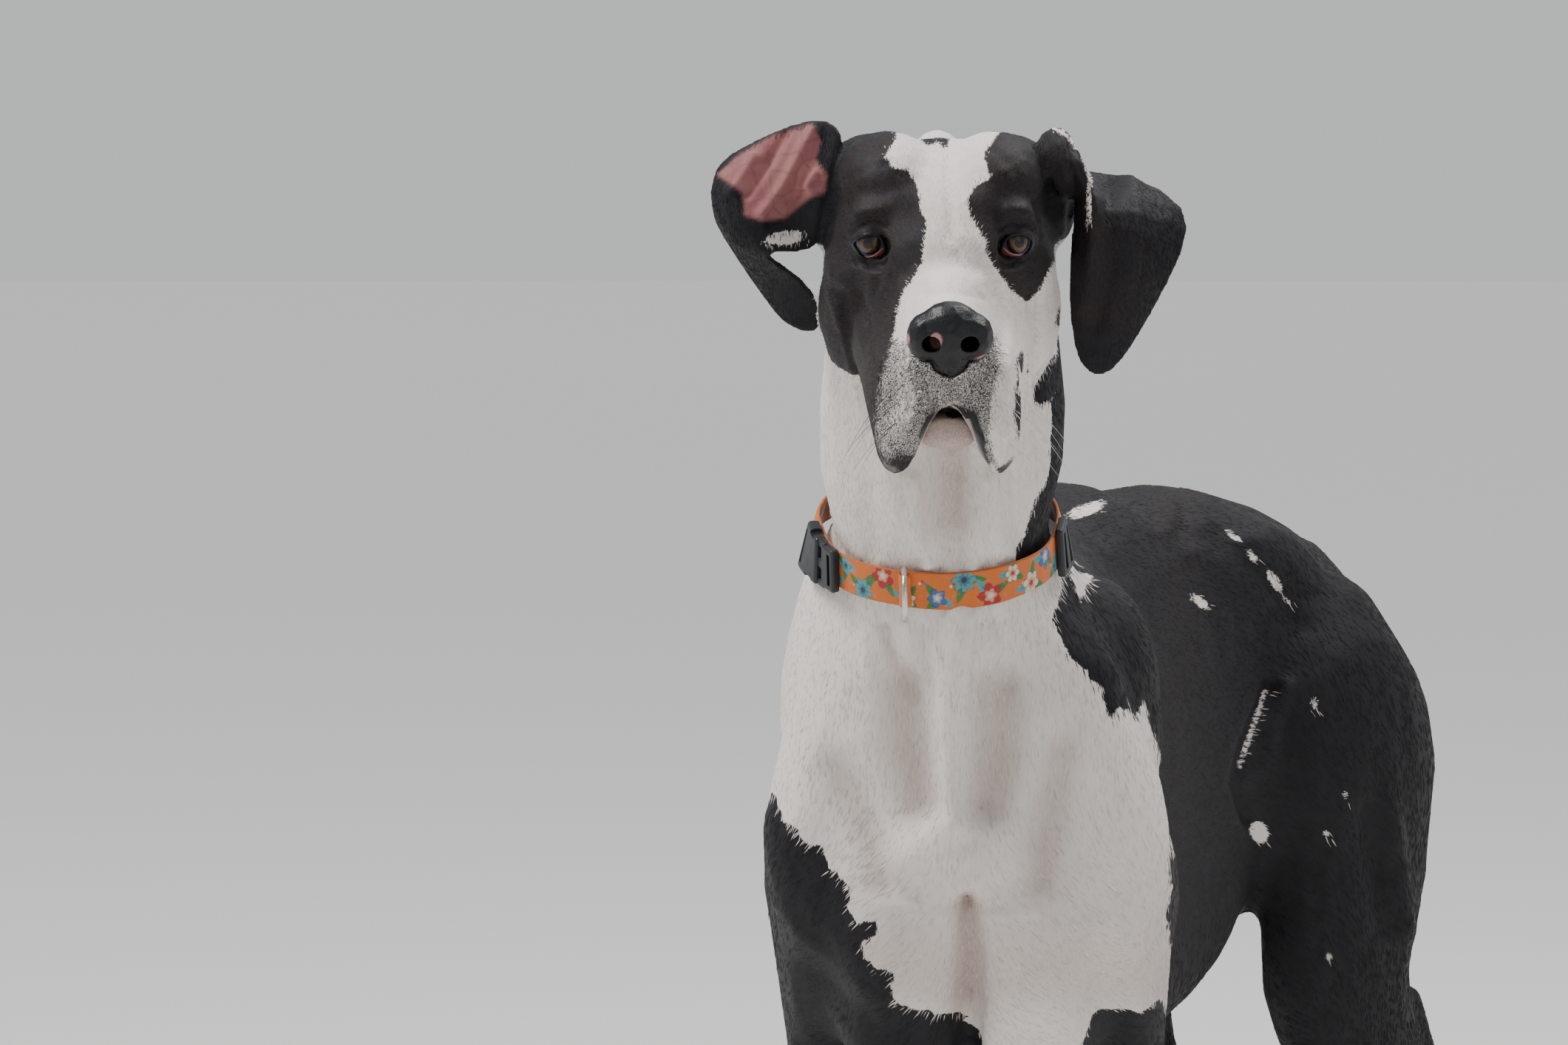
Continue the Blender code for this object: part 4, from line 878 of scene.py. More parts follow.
def make_lids(name, skin_tree):
    """The lids round one eye, as points, quads and how far each point is from the opening."""
    middle, outward, sideways, up = eye_frame(name)
    axes = np.array([sideways, up, outward])
    outline = [axes @ np.array(on_ball(p, middle, EYEBALL_RADIUS) - middle) for p in EYES[name]["opening"]]
    flat = closed_curve(outline, LID_POINTS)[:, :2]
    centre = flat.mean(axis=0)
    away = flat - centre
    along = np.roll(flat, -1, axis=0) - np.roll(flat, 1, axis=0)
    out = np.stack([along[:, 1], -along[:, 0]], axis=1)
    out *= np.sign((out * away).sum(axis=1))[:, None]
    out = out / np.linalg.norm(out, axis=1)[:, None] + 0.6 * away / np.linalg.norm(away, axis=1)[:, None]
    out /= np.linalg.norm(out, axis=1)[:, None]
    points, reach = [], []
    last = len(LID_RINGS) - 1
    for number, (off, above) in enumerate(LID_RINGS):
        at = flat + out * off * 0.001
        ball = EYEBALL_RADIUS + above * 0.001
        far = np.linalg.norm(at, axis=1)
        height = np.sqrt(np.maximum(ball**2 - np.minimum(far, 0.86 * ball) ** 2, 0))
        height -= np.maximum(far - 0.86 * ball, 0) * 1.7
        share = float(smoothstep(np.array([off]), 1.4, 8.0)[0])
        for k, (u, v) in enumerate(at):
            start = middle + sideways * float(u) + up * float(v) + outward * 0.05
            hit = skin_tree.ray_cast(start, -outward, 0.09)[0]
            ground = (hit - middle).dot(outward) if hit else float(height[k])
            sunk = 0.0007 if number == last else 0.0
            high = float(height[k]) * (1 - share) + (ground - sunk) * share
            points.append(middle + sideways * float(u) + up * float(v) + outward * high)
        reach += [off] * LID_POINTS
    quads = ring_quads(len(LID_RINGS), LID_POINTS)
    points = np.array(points)
    a, b, d = (points[i] for i in (quads[-1][0], quads[-1][1], quads[-1][3]))
    if np.cross(b - a, d - a) @ np.array(outward) < 0:
        quads = [q[::-1] for q in quads]
    return points, quads, np.array(reach), flat


def sink_round_eyes(mesh, outlines):
    """Pushes the head's skin in behind the lids."""
    co = points_of(mesh)
    for name, flat in outlines.items():
        middle, outward, sideways, up = eye_frame(name)
        local = (co - np.array(middle)) @ np.array([sideways, up, outward]).T
        near = np.flatnonzero((np.abs(local[:, :2]) < 0.03).all(axis=1) & (local[:, 2] > -0.012))
        closed = np.concatenate([flat, flat[:1]])
        distance = line_distance(local[near, :2], closed)
        within = np.linalg.norm(local[near, :2], axis=1) < 0.006
        distance[within] = 0
        push = 0.007 * smoothstep(-distance, -0.0095, -0.0055)
        co[near] -= push[:, None] * np.array(outward)
    set_points(mesh, co)


def make_eye(name):
    """The eyeball, with its cornea standing a little proud, and the pink corner."""
    middle = box_middle(name)
    gaze = (on_ball(EYES[name]["iris"], middle, EYEBALL_RADIUS) - middle).normalized()
    bm = bmesh.new()
    bmesh.ops.create_uvsphere(bm, u_segments=64, v_segments=48, radius=EYEBALL_RADIUS)
    for v in bm.verts:
        off_axis = math.hypot(v.co.x, v.co.y)
        if v.co.z > 0:
            v.co.z += 0.0009 * max(0.0, 1 - (off_axis / (IRIS_RADIUS * 1.1)) ** 2)
    mesh = bpy.data.meshes.new(name + "_ball")
    bm.to_mesh(mesh)
    bm.free()
    made = piece(name + "_ball", mesh, eye_material(), (name,))
    made.rotation_euler = gaze.to_track_quat("Z", "Y").to_euler()
    made.location = middle
    haw = closed_curve([on_ball(p, middle, EYEBALL_RADIUS + 0.0003) for p in EYES[name]["haw"]], 40)
    rings = []
    centre = haw.mean(axis=0)
    for share, lift in ((1.0, -0.0006), (0.94, 0.0), (0.75, 0.0003), (0.4, 0.0004)):
        ring = centre + (haw - centre) * share - np.array(middle)
        ring *= ((EYEBALL_RADIUS + 0.0003 + lift) / np.linalg.norm(ring, axis=1))[:, None]
        rings.append(ring + np.array(middle))
    tip = centre - np.array(middle)
    tip = tip / np.linalg.norm(tip) * (EYEBALL_RADIUS + 0.0007) + np.array(middle)
    co = np.concatenate([*rings, tip[None]])
    count = len(haw)
    quads = ring_quads(len(rings), count)
    tris = [(3 * count + k, 3 * count + (k + 1) % count, 4 * count) for k in range(count)]
    piece(name + "_haw", mesh_from("haw", co, quads, tris), haw_material())


# Coat

# the second colour is a darker pinkish tan: pink skin showing through the white hair, made darker as painted
# shade
WHITE_FUR, SHADED_PINK_FUR = (0.82, 0.755, 0.70), (0.42, 0.30, 0.265)
BLACK_FUR, BROWN_FUR = (0.0095, 0.0088, 0.0112), (0.042, 0.027, 0.022)
PINK_SKIN = (0.36, 0.150, 0.140)
# the third mark is pink skin and painted shade together
MARKS = ("dark", "speckle", "warm", "brown", "bare", "lips")


def coat_material(name, mode):
    """The skin's material, or the tufts', from the same colours."""
    made, tree, shader = material(name, roughness=0.62, Specular_IOR_Level=0.22)
    shader.inputs["Sheen Weight"].default_value = 0.04
    shader.inputs["Sheen Roughness"].default_value = 0.4
    if mode == "tufts":
        coloured(tree, shader, attribute(tree, "fur").outputs["Color"])
        roughened(tree, shader, noise(tree, 900, 1.0, vector=position(tree)), 0.50, 0.72)
        return made
    dark, speckle, warm, brown, bare, lips = (attribute(tree, mark).outputs["Fac"] for mark in MARKS)
    comb = attribute(tree, "comb").outputs["Vector"]
    fine = noise(tree, 900, 3.0, 0.6, comb)
    broad = noise(tree, 60, 3.0, 0.5, position(tree))
    dots = noise(tree, 1500, 2.0, 0.6, comb)
    # black or white: a hairy edge round the markings, soft greys in the speckle
    shaken = calc(tree, "SUBTRACT", calc(tree, "MULTIPLY_ADD", fine, 5.0, dark), 2.5)
    spots = calc(tree, "MULTIPLY", calc(tree, "SUBTRACT", dots, 0.49), 40.0)
    blend = {"data_type": "FLOAT"}
    chosen = node(tree, "Mix", blend, in0=speckle, in2=shaken, in3=spots).outputs[0]
    sharp, soft = ramp(tree, chosen, -0.6, 0.6), ramp(tree, chosen, -4.5, 3.0)
    mask = node(tree, "Mix", blend, in0=speckle, in2=sharp, in3=soft).outputs[0]
    # pink skin and painted shade darken the white coat
    pale = mixed(tree, warm, WHITE_FUR, SHADED_PINK_FUR)
    pale = mixed(tree, ramp(tree, fine, 0.35, 0.9), pale, tuple(0.86 * c for c in WHITE_FUR))
    black = mixed(tree, calc(tree, "MULTIPLY", brown, ramp(tree, fine, 0.3, 0.8)), BLACK_FUR, BROWN_FUR)
    black = mixed(tree, ramp(tree, broad, 0.3, 0.8), black, tuple(1.5 * c for c in BLACK_FUR))
    coat = mixed(tree, mask, pale, black)
    # bare skin with veins inside the ear, and dark lips
    cells = node(tree, "TexVoronoi", {"feature": "DISTANCE_TO_EDGE"}, Vector=position(tree), Scale=55.0)
    skin = mixed(tree, ramp(tree, broad, 0.35, 0.75), PINK_SKIN, (0.30, 0.10, 0.11))
    skin = mixed(tree, ramp(tree, cells.outputs["Distance"], 0.10, -0.10), skin, (0.22, 0.080, 0.085))
    coat = mixed(tree, bare, coat, skin)
    coloured(tree, shader, mixed(tree, lips, coat, (0.012, 0.012, 0.014)))
    roughened(tree, shader, lips, 0.62, 0.32)
    bumped(tree, shader, fine, 0.0005, 0.5)
    return made


def eye_material():
    """A brown iris with a black pupil, dark rim and shade of the upper lid; a greyish white round it."""
    made, tree, shader = material("eye", roughness=0.3, Specular_IOR_Level=0.2, Coat_Weight=0.8)
    shader.inputs["Coat Roughness"].default_value = 0.02
    shader.inputs["Coat IOR"].default_value = 1.36
    spot = position(tree)
    parts = node(tree, "SeparateXYZ", in0=spot)
    flat = node(tree, "CombineXYZ", in0=parts.outputs[0], in1=parts.outputs[1], in2=0.0)
    far = node(tree, "VectorMath", {"operation": "LENGTH"}, in0=flat.outputs[0]).outputs["Value"]
    grain = noise(tree, 900, 3.0, 0.6, spot)
    iris = mixed(tree, ramp(tree, grain, 0.35, 0.75), (0.055, 0.022, 0.007), (0.190, 0.085, 0.020))
    rim = ramp(tree, far, IRIS_RADIUS * 0.60, IRIS_RADIUS * 0.90)
    iris = mixed(tree, rim, iris, (0.012, 0.008, 0.007))
    iris = mixed(tree, ramp(tree, far, PUPIL_RADIUS * 1.3, PUPIL_RADIUS), iris, (0.002, 0.002, 0.002))
    shaded = ramp(tree, parts.outputs[1], -0.0005, 0.0045)
    iris = mixed(tree, shaded, iris, (0.010, 0.007, 0.006))
    white = mixed(tree, ramp(tree, grain, 0.4, 0.9), (0.085, 0.085, 0.115), (0.060, 0.040, 0.045))
    behind = ramp(tree, parts.outputs[2], 0.001, -0.001)
    outside = calc(tree, "MAXIMUM", ramp(tree, far, IRIS_RADIUS, IRIS_RADIUS * 1.12), behind)
    coloured(tree, shader, mixed(tree, outside, iris, white))
    return made


def haw_material():
    made, tree, shader = material("haw", roughness=0.25, Coat_Weight=0.7)
    grain = noise(tree, 700, 3.0, 0.6, position(tree))
    coloured(tree, shader, mixed(tree, grain, (0.40, 0.10, 0.09), (0.16, 0.05, 0.05)))
    bumped(tree, shader, grain, 0.0002, 0.4)
    return made


# The grain of the skin's bump is stretched along the hair by these scales.
HEAD_COMB, BACK_COMB, DOWN_COMB = (np.array(scale) for scale in ([1, 0.2, 1], [1, 0.15, 1], [1, 1, 0.15]))


def head_flow(co, ear):
    """Which way the hair lies on the head: away from the nose, and down the ears."""
    head = to_head(co)
    way = head - np.array([0, -0.175, 0.0])
    way /= np.linalg.norm(way, axis=1)[:, None]
    way[:, 2] -= 0.3 * smoothstep(head[:, 1], 0.0, 0.08)
    down = np.array([0.0, 0.1, -1.0])
    neck = smoothstep(-head[:, 2], 0.07, 0.11) * smoothstep(head[:, 1], -0.08, -0.02)
    share = np.maximum(np.maximum(ear, neck), 0)[:, None]
    way = way * (1 - share) + down * share
    return way @ HEAD_ARRAY[:3, :3].T


def body_flow(co):
    """The same for the body: back along the trunk, down the chest and legs."""
    x, y, z = to_straight(co).T
    n = len(co)
    along = np.stack([np.zeros(n), np.ones(n), np.full(n, -0.25)], axis=1)
    outward = np.sign(x) * smoothstep(np.abs(x), 0.0, 0.05) * smoothstep(-z, -0.68, -0.58)
    down = np.stack([outward * 1.1, np.full(n, 0.15), np.full(n, -1.0)], axis=1)
    chest = smoothstep(-y, -0.20, -0.10)
    legs = smoothstep(-z, -0.56, -0.44)
    thigh = smoothstep(y, 0.56, 0.68) * 0.8
    tail = (y > 0.80).astype(float)
    share = np.clip(np.maximum.reduce([chest, legs, thigh, tail]), 0, 1)[:, None]
    way = along * (1 - share) + down * share
    turn = np.interp(y, SPINE_Y, SPINE_TURN)
    c, s = np.cos(turn), np.sin(turn)
    return np.stack([way[:, 0] * c - way[:, 1] * s, way[:, 0] * s + way[:, 1] * c, way[:, 2]], axis=1)


def add_marks(mesh, dark, speckle, warm, brown, lips, bare):
    for name, values in zip(MARKS, (dark, speckle, warm, brown, bare, lips)):
        add_attribute(mesh, name, np.broadcast_to(values, len(mesh.vertices)))


def joined(a, b_points, b_quads):
    """A mesh with more points and quads added."""
    count = len(a.vertices)
    co = np.concatenate([points_of(a), b_points])
    faces = [tuple(p.vertices) for p in a.polygons]
    quads = [f for f in faces if len(f) == 4] + [tuple(i + count for i in q) for q in b_quads]
    tris = [f for f in faces if len(f) == 3]
    return mesh_from("skin", co, quads, tris)


def make_head():
    mesh = make_head_skin()
    tree = tree_of(mesh)
    ear = list(ear_of(mesh))
    lids, outlines = [], {}
    for name in EYES:
        points, quads, reach, flat = make_lids(name, tree)
        lids.append((points, quads, reach))
        outlines[name] = flat
    sink_round_eyes(mesh, outlines)
    rim = [0.0] * len(ear)
    for points, quads, reach in lids:
        mesh = joined(mesh, points, quads)
        ear += [0.0] * len(points)
        rim += list(smoothstep(-reach, -3.4, -2.2))
    relief(mesh, FACE_STROKES + NECK_STROKES + EAR_STROKES, 1.7)
    co, normal = points_of(mesh), normals_of(mesh)
    ear, rim = np.array(ear), np.array(rim)
    facing = -(normal @ np.array(CAMERA_AHEAD))
    bare = smoothstep(inside(photo_points(co), PINK_EAR), -1.5, 2.5) * smoothstep(facing, 0.1, 0.4)
    *marks, lips = head_marks(co, normal, ear)
    add_marks(mesh, *marks, np.maximum(lips, rim), bare * (ear > 0.5))
    add_attribute(mesh, "comb", to_head(co) * HEAD_COMB, "FLOAT_VECTOR")
    add_attribute(mesh, "ear", ear)
    piece("skin_head", mesh, coat_material("head_skin", "skin"), HEAD_NODES)
    return mesh


def make_body():
    mesh = make_body_skin()
    co = points_of(mesh)
    add_marks(mesh, *body_marks(co, normals_of(mesh)), 0.0)
    straight = to_straight(co)
    down = smoothstep(-straight[:, 1], -0.22, -0.10)
    down = np.maximum(down, smoothstep(-straight[:, 2], -0.55, -0.42))[:, None]
    comb = straight * (BACK_COMB * (1 - down) + DOWN_COMB * down)
    add_attribute(mesh, "comb", comb, "FLOAT_VECTOR")
    flesh = [name for name in BODY_NODES if name != "neck"]
    piece("skin_body", mesh, coat_material("body_skin", "skin"), flesh)
    return mesh


make_camera()
head_mesh = make_head()
body_mesh = make_body()
for eye in EYES:
    make_eye(eye)


# Nose and chin


def nose_material():
    made, tree, shader = material("nose", roughness=0.42, Specular_IOR_Level=0.32, Coat_Weight=0.12)
    shader.inputs["Coat Roughness"].default_value = 0.25
    spot = position(tree)
    pebbles = node(tree, "TexVoronoi", {"feature": "F1"}, Vector=spot, Scale=900.0).outputs["Distance"]
    tone = noise(tree, 90, 2.0, 0.5, spot)
    colour = mixed(tree, tone, (0.0030, 0.0031, 0.0040), (0.0075, 0.0078, 0.0100))
    coloured(tree, shader, mixed(tree, attribute(tree, "pink").outputs["Fac"], colour, (0.42, 0.20, 0.19)))
    bumped(tree, shader, pebbles, -0.0004, 0.6)
    return made


# Pink spots of the nose: middle, half width and half height, and turn in degrees.
NOSTRIL_PINK = [
    (1266, 461, 9, 11, 0), (1226, 459, 5, 9, 0), (1237, 505, 4, 3, -35), (1332, 482, 15, 2.5, 15),
]
NOSE_STROKES = [
    ([(1287, 446), (1286, 480), (1286, 508)], 4, -1.2), ([(1246, 440), (1262, 434), (1282, 440)], 6, 0.6),
    ([(1300, 440), (1318, 436), (1334, 446)], 6, 0.6), ([(1240, 486), (1258, 492), (1272, 500)], 3, -0.8),
    ([(1302, 500), (1318, 494), (1338, 484)], 3, -0.8),
]


CHIN_VOXEL, CHIN_DEPTH = 0.0015, 0.0006
CHIN_SPOT = (1290, 558, 11, 7, 0)


def make_nose():
    mesh = melted(["nose"], NOSE_VOXEL, 0)
    relax(mesh, 5)
    relief(mesh, NOSE_STROKES)
    co = points_of(mesh)
    facing = -(normals_of(mesh) @ np.array(CAMERA_AHEAD))
    pink = np.max([smoothstep(oval(photo_points(co), *spot), -0.3, 0.9) for spot in NOSTRIL_PINK], axis=0)
    add_attribute(mesh, "pink", pink * smoothstep(facing, 0.0, 0.3))
    piece("nose_leather", mesh, nose_material(), ("nose",))


def make_chin():
    mesh = melted(["jaw"], CHIN_VOXEL, 0)
    relax(mesh, 6)
    co, normal = points_of(mesh), normals_of(mesh)
    photo = photo_points(co)
    set_points(mesh, co - normal * CHIN_DEPTH)
    dark = np.maximum(-6.0, oval(photo, *CHIN_SPOT))
    # the chin's pinkish tone grows darker towards its underside: pink skin and painted shade
    warm = np.clip(0.55 + 0.02 * (photo[:, 1] - 560), 0.55, 1.0)
    add_marks(mesh, dark, 0.0, warm, 0.0, 0.0, 0.0)
    add_attribute(mesh, "comb", to_head(co) * HEAD_COMB, "FLOAT_VECTOR")
    piece("skin_chin", mesh, coat_material("chin_skin", "skin"), ("jaw",))


make_nose()
make_chin()


# Tufts

COAT_SHARE = 1.0


def read(mesh, name):
    values = np.empty(len(mesh.vertices), np.float32)
    mesh.attributes[name].data.foreach_get("value", values)
    return values.astype(float)


class Skin:
    """A skin mesh, ready to plant tufts on."""

    def __init__(self, mesh, names):
        mesh.calc_loop_triangles()
        tris = np.empty(len(mesh.loop_triangles) * 3, np.int32)
        mesh.loop_triangles.foreach_get("vertices", tris)
        self.tris = tris.reshape(-1, 3)
        self.co, self.normal = points_of(mesh), normals_of(mesh)
        a, b, c = (self.co[self.tris[:, k]] for k in range(3))
        self.area = np.linalg.norm(np.cross(b - a, c - a), axis=1) / 2
        self.values = {name: read(mesh, name) for name in names}
        self.tree = BVHTree.FromPolygons(self.co.tolist(), self.tris.tolist())

    def plant(self, density):
        """Random roots: their places, normals and values, given tufts per square metre at each vertex."""
        expected = self.area * density[self.tris].mean(axis=1)
        count = int(expected.sum())
        chosen = rng.choice(len(self.tris), count, p=expected / expected.sum())
        r = rng.random((count, 2))
        r = np.where(r.sum(axis=1, keepdims=True) > 1, 1 - r, r)
        share = np.stack([1 - r.sum(axis=1), r[:, 0], r[:, 1]], axis=1)
        corner = self.tris[chosen]
        place = (self.co[corner] * share[:, :, None]).sum(axis=1)
        normal = (self.normal[corner] * share[:, :, None]).sum(axis=1)
        normal /= np.linalg.norm(normal, axis=1)[:, None]
        values = {k: (v[corner] * share).sum(axis=1) for k, v in self.values.items()}
        return place, normal, values

    def land(self, points):
        """The nearest places on the skin."""
        return np.array([self.tree.find_nearest(p)[0] for p in points])


def fur_colour(values):
    """One colour for each tuft, as the skin's material has it."""
    n = len(values["dark"])
    dark = values["dark"] + rng.normal(0, 0.9, n)
    speckled = rng.random(n) < values["speckle"]
    is_dark = dark > 0
    shade = rng.normal(1.0, 0.09, (n, 1))
    white, warm, black, brown = (np.array(c) for c in (WHITE_FUR, SHADED_PINK_FUR, BLACK_FUR, BROWN_FUR))
    # tufts take the pink skin and the painted shade of the skin below them
    pale = white + (warm - white) * (values["warm"] * rng.uniform(0.3, 1.0, n))[:, None]
    deep = black + (brown - black) * (values["brown"] * rng.uniform(0, 1, n) ** 1.5)[:, None]
    deep = deep * rng.uniform(0.7, 1.5, (n, 1))
    colour = np.where(is_dark[:, None], deep, pale * shade)
    mixed_in = rng.random((n, 1)) ** 1.6 * 0.75
    colour = np.where(speckled[:, None], black * 2 + (white * 0.8 - black * 2) * mixed_in, colour)
    at_edge = (np.abs(dark) < 1.5) & ~is_dark
    return np.clip(np.where(at_edge[:, None], colour * 0.85, colour), 0.004, 0.95)


TUFT_FACES = np.array([(0, 3, 1), (0, 2, 3), (0, 1, 2), (4, 1, 3), (4, 3, 2), (4, 2, 1)])
TUFT_PATCH = 0.003
TUFT_ROOT, TUFT_THICK = 0.0004, 0.00015
TUFT_SLIM = 0.035  # half width as a share of the length
TUFT_SWERVE = 0.12
TUFTS_UP = 0.02  # the share of tufts that stand out a little
HEAD_LIFT, BODY_LIFT = 0.00025, 0.0004
TUFT_UV = np.array([(0, -0.5), (-0.5, 0), (0.5, 0), (0, 0.1), (0, 0.5)]) * TUFT_PATCH


def coat(name, skin, roots, normal, values, way, unwrap, slot, lift):
    """A piece of coat: one flat closed spike for each root, lying along the skin."""
    n = len(roots)
    way = way - normal * (way * normal).sum(axis=1)[:, None]
    way += rng.normal(0, TUFT_SWERVE, (n, 3)) * np.linalg.norm(way, axis=1)[:, None]
    way -= normal * (way * normal).sum(axis=1)[:, None]
    way /= np.linalg.norm(way, axis=1)[:, None] + 1e-9
    aside = np.cross(normal, way)
    length = values["length"] * rng.uniform(0.7, 1.25, n)
    half = (length * TUFT_SLIM + 0.00011)[:, None] * rng.uniform(0.7, 1.2, (n, 1))
    standing = (rng.random(n) < TUFTS_UP)[:, None] * rng.uniform(0.5, 1.4, (n, 1)) * 0.08 * length[:, None]
    middle = skin.land(roots + way * (length * 0.45)[:, None])
    tip = skin.land(roots + way * length[:, None]) + normal * (lift + standing)
    raised = middle + normal * standing * 0.3
    co = np.stack([
        roots - normal * TUFT_ROOT,
        raised + aside * half - normal * 0.00012,
        raised - aside * half - normal * 0.00012,
        raised + normal * (TUFT_THICK + lift * 0.5),
        tip,
    ], axis=1)
    tilt = rng.normal(0, 0.10, (n, 1)) * aside
    leans = (0, aside * 0.4, -aside * 0.4, 0, way * 0.15)
    facing = np.stack([normal + lean + tilt for lean in leans], axis=1)
    facing /= np.linalg.norm(facing, axis=2)[:, :, None]
    faces = (TUFT_FACES[None] + (np.arange(n) * 5)[:, None, None]).reshape(-1, 3)
    mesh = mesh_from(name, co.reshape(-1, 3), (), faces)
    mesh.shade_smooth()
    add_attribute(mesh, "fur", np.repeat(fur_colour(values), 5, axis=0), "FLOAT_COLOR")
    layer = mesh.uv_layers.new(name="OFBake")
    spots = np.clip(unwrap(roots), 0.004, 0.996)[:, None] + TUFT_UV[None]
    layer.data.foreach_set("uv", spots[:, TUFT_FACES.ravel()].astype(np.float32).ravel())
    piece(name, mesh, coat_material(name, "tufts"))
    mesh.normals_split_custom_set_from_vertices(facing.reshape(-1, 3))


def tuft_density(length, cover):
    """Tufts per square metre that cover the skin that many times."""
    return cover / (length * (length * 0.07 + 0.00022)) * COAT_SHARE


def round_axis(place, start, end):
    """An unwrap: the angle round an axis, and the distance along it, both from 0 to 1."""
    start, end = np.array(start, float), np.array(end, float)
    along = (end - start) / np.linalg.norm(end - start)
    first = np.cross(along, [0.3, 0.2, 1.0])
    first /= np.linalg.norm(first)
    second = np.cross(along, first)

    def unwrap(co):
        local = place(co) - start
        angle = np.arctan2(local @ second, local @ first) / (2 * math.pi) + 0.5
        return np.stack([angle, local @ along / np.linalg.norm(end - start)], axis=1)

    return unwrap


def grow(skin, roots, normal, values, way, place, lift, groups):
    """Coat pieces for groups of roots: each a name, its roots, the axis of its unwrap and its slot, which is
    not used.
    """
    for name, chosen, axis, slot in groups:
        some = {key: value[chosen] for key, value in values.items()}
        unwrap = round_axis(place, *axis)
        coat(name, skin, roots[chosen], normal[chosen], some, way[chosen], unwrap, slot, lift)


def make_head_coat(skin):
    head = to_head(skin.co)
    lips, bare = skin.values["lips"], skin.values["bare"]
    muzzle = smoothstep(-head[:, 1], 0.05, 0.09)
    neck = smoothstep(-head[:, 2], 0.08, 0.12) * smoothstep(head[:, 1], -0.04, 0.02)
    length = 0.0050 - 0.0018 * muzzle + 0.0030 * neck
    density = tuft_density(length, 0.72)
    density *= (1 - smoothstep(lips, 0.1, 0.5)) * (1 - smoothstep(bare, 0.05, 0.6))
    skin.values["length"] = length
    roots, normal, values = skin.plant(density)
    local = to_head(roots)
    is_ear, left = values["ear"] > 0.5, local[:, 0] > 0
    low = (roots[:, 2] < 0.945) & (local[:, 1] > -0.07)
    on_neck = ~is_ear & (low | (local[:, 1] > 0.125))
    on_face = ~is_ear & ~on_neck
    face_axis = ((0, -0.17, -0.04), (0, 0.15, 0.0))
    groups = (
        ("coat_ear_left", is_ear & left, ((0.09, 0.08, 0.06), (0.13, 0.06, -0.10)), "black_coat"),
        ("coat_ear_right", is_ear & ~left, ((-0.08, 0.06, 0.04), (-0.16, 0.04, 0.02)), "black_coat"),
        ("coat_neck", on_neck, ((0, 0.0, -0.20), (0, 0.08, 0.02)), "white_coat"),
        ("coat_face_left", on_face & left, face_axis, "white_coat"),
        ("coat_face_right", on_face & ~left, face_axis, "black_coat"),
    )
    grow(skin, roots, normal, values, head_flow(roots, values["ear"]), to_head, HEAD_LIFT, groups)


def make_body_coat(skin):
    z = to_straight(skin.co)[:, 2]
    feet = smoothstep(-z, -0.12, -0.05)
    legs = smoothstep(-z, -0.50, -0.38)
    length = 0.0100 - 0.0025 * legs - 0.0035 * feet
    density = tuft_density(length, 0.50) * (z > 0.004)
    skin.values["length"] = length
    roots, normal, values = skin.plant(density)
    x, y, z = to_straight(roots).T
    left = x > 0
    tail = (y > 0.79) & (np.abs(x) < 0.045)
    fore = (z < 0.46) & (y < 0.42)
    hind = (z < 0.46) & (y > 0.52) & (np.abs(x) > 0.03) & ~tail
    trunk = ~(fore | hind | tail)
    chest, rump = trunk & (y < 0.17), trunk & (y > 0.58)
    ribs = trunk & ~chest & ~rump
    ribs_axis = ((0, 0.15, 0.63), (0, 0.60, 0.63))
    groups = (
        ("coat_chest", chest, ((0, 0.1, 0.44), (0, 0.1, 0.86)), "white_coat"),
        ("coat_left_side", ribs & left, ribs_axis, "black_coat"),
        ("coat_right_side", ribs & ~left, ribs_axis, "black_coat"),
        ("coat_rump", rump, ((0, 0.56, 0.63), (0, 0.84, 0.63)), "black_coat"),
        ("coat_tail", tail, ((0, 0.83, 0.24), (0, 0.83, 0.76)), "black_coat"),
        ("coat_foreleg_left", fore & left, ((0.108, 0.17, 0), (0.108, 0.17, 0.47)), "white_coat"),
        ("coat_foreleg_right", fore & ~left, ((-0.108, 0.17, 0), (-0.108, 0.17, 0.47)), "white_coat"),
        ("coat_hindleg_left", hind & left, ((0.103, 0.85, 0), (0.103, 0.74, 0.47)), "black_coat"),
        ("coat_hindleg_right", hind & ~left, ((-0.103, 0.75, 0), (-0.103, 0.68, 0.47)), "black_coat"),
    )
    grow(skin, roots, normal, values, body_flow(roots), to_straight, BODY_LIFT, groups)


make_head_coat(Skin(head_mesh, MARKS + ("ear",)))
make_body_coat(Skin(body_mesh, MARKS))


# Collar

COLLAR_THICK, GAP = 0.0026, 0.0003
LOOP_HALF = 0.0046
BUCKLE_ANGLE, SLIDER_ANGLE, RING_ANGLE = math.radians(-69), math.radians(86), math.radians(-9.5)
STRAP_COLUMNS, STRAP_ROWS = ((900, 46))
ORANGE, CREAM, RED = (0.78, 0.185, 0.030), (0.84, 0.72, 0.52), (0.52, 0.028, 0.020)
BLUE, TEAL = (0.055, 0.165, 0.40), (0.10, 0.36, 0.38)
LEAF, DEEP = (0.075, 0.23, 0.055), (0.030, 0.060, 0.120)
BLOSSOM_STEP = 0.0205  # along the strap


def collar_point(angle, out, up):
    """A place on the collar: an angle from the neck's front, a distance out and one along the neck."""
    local = np.stack([out * np.sin(angle), -out * np.cos(angle), up], axis=-1)
    place = np.array(COLLAR_PLACE)
    return local @ place[:3, :3].T + place[:3, 3]


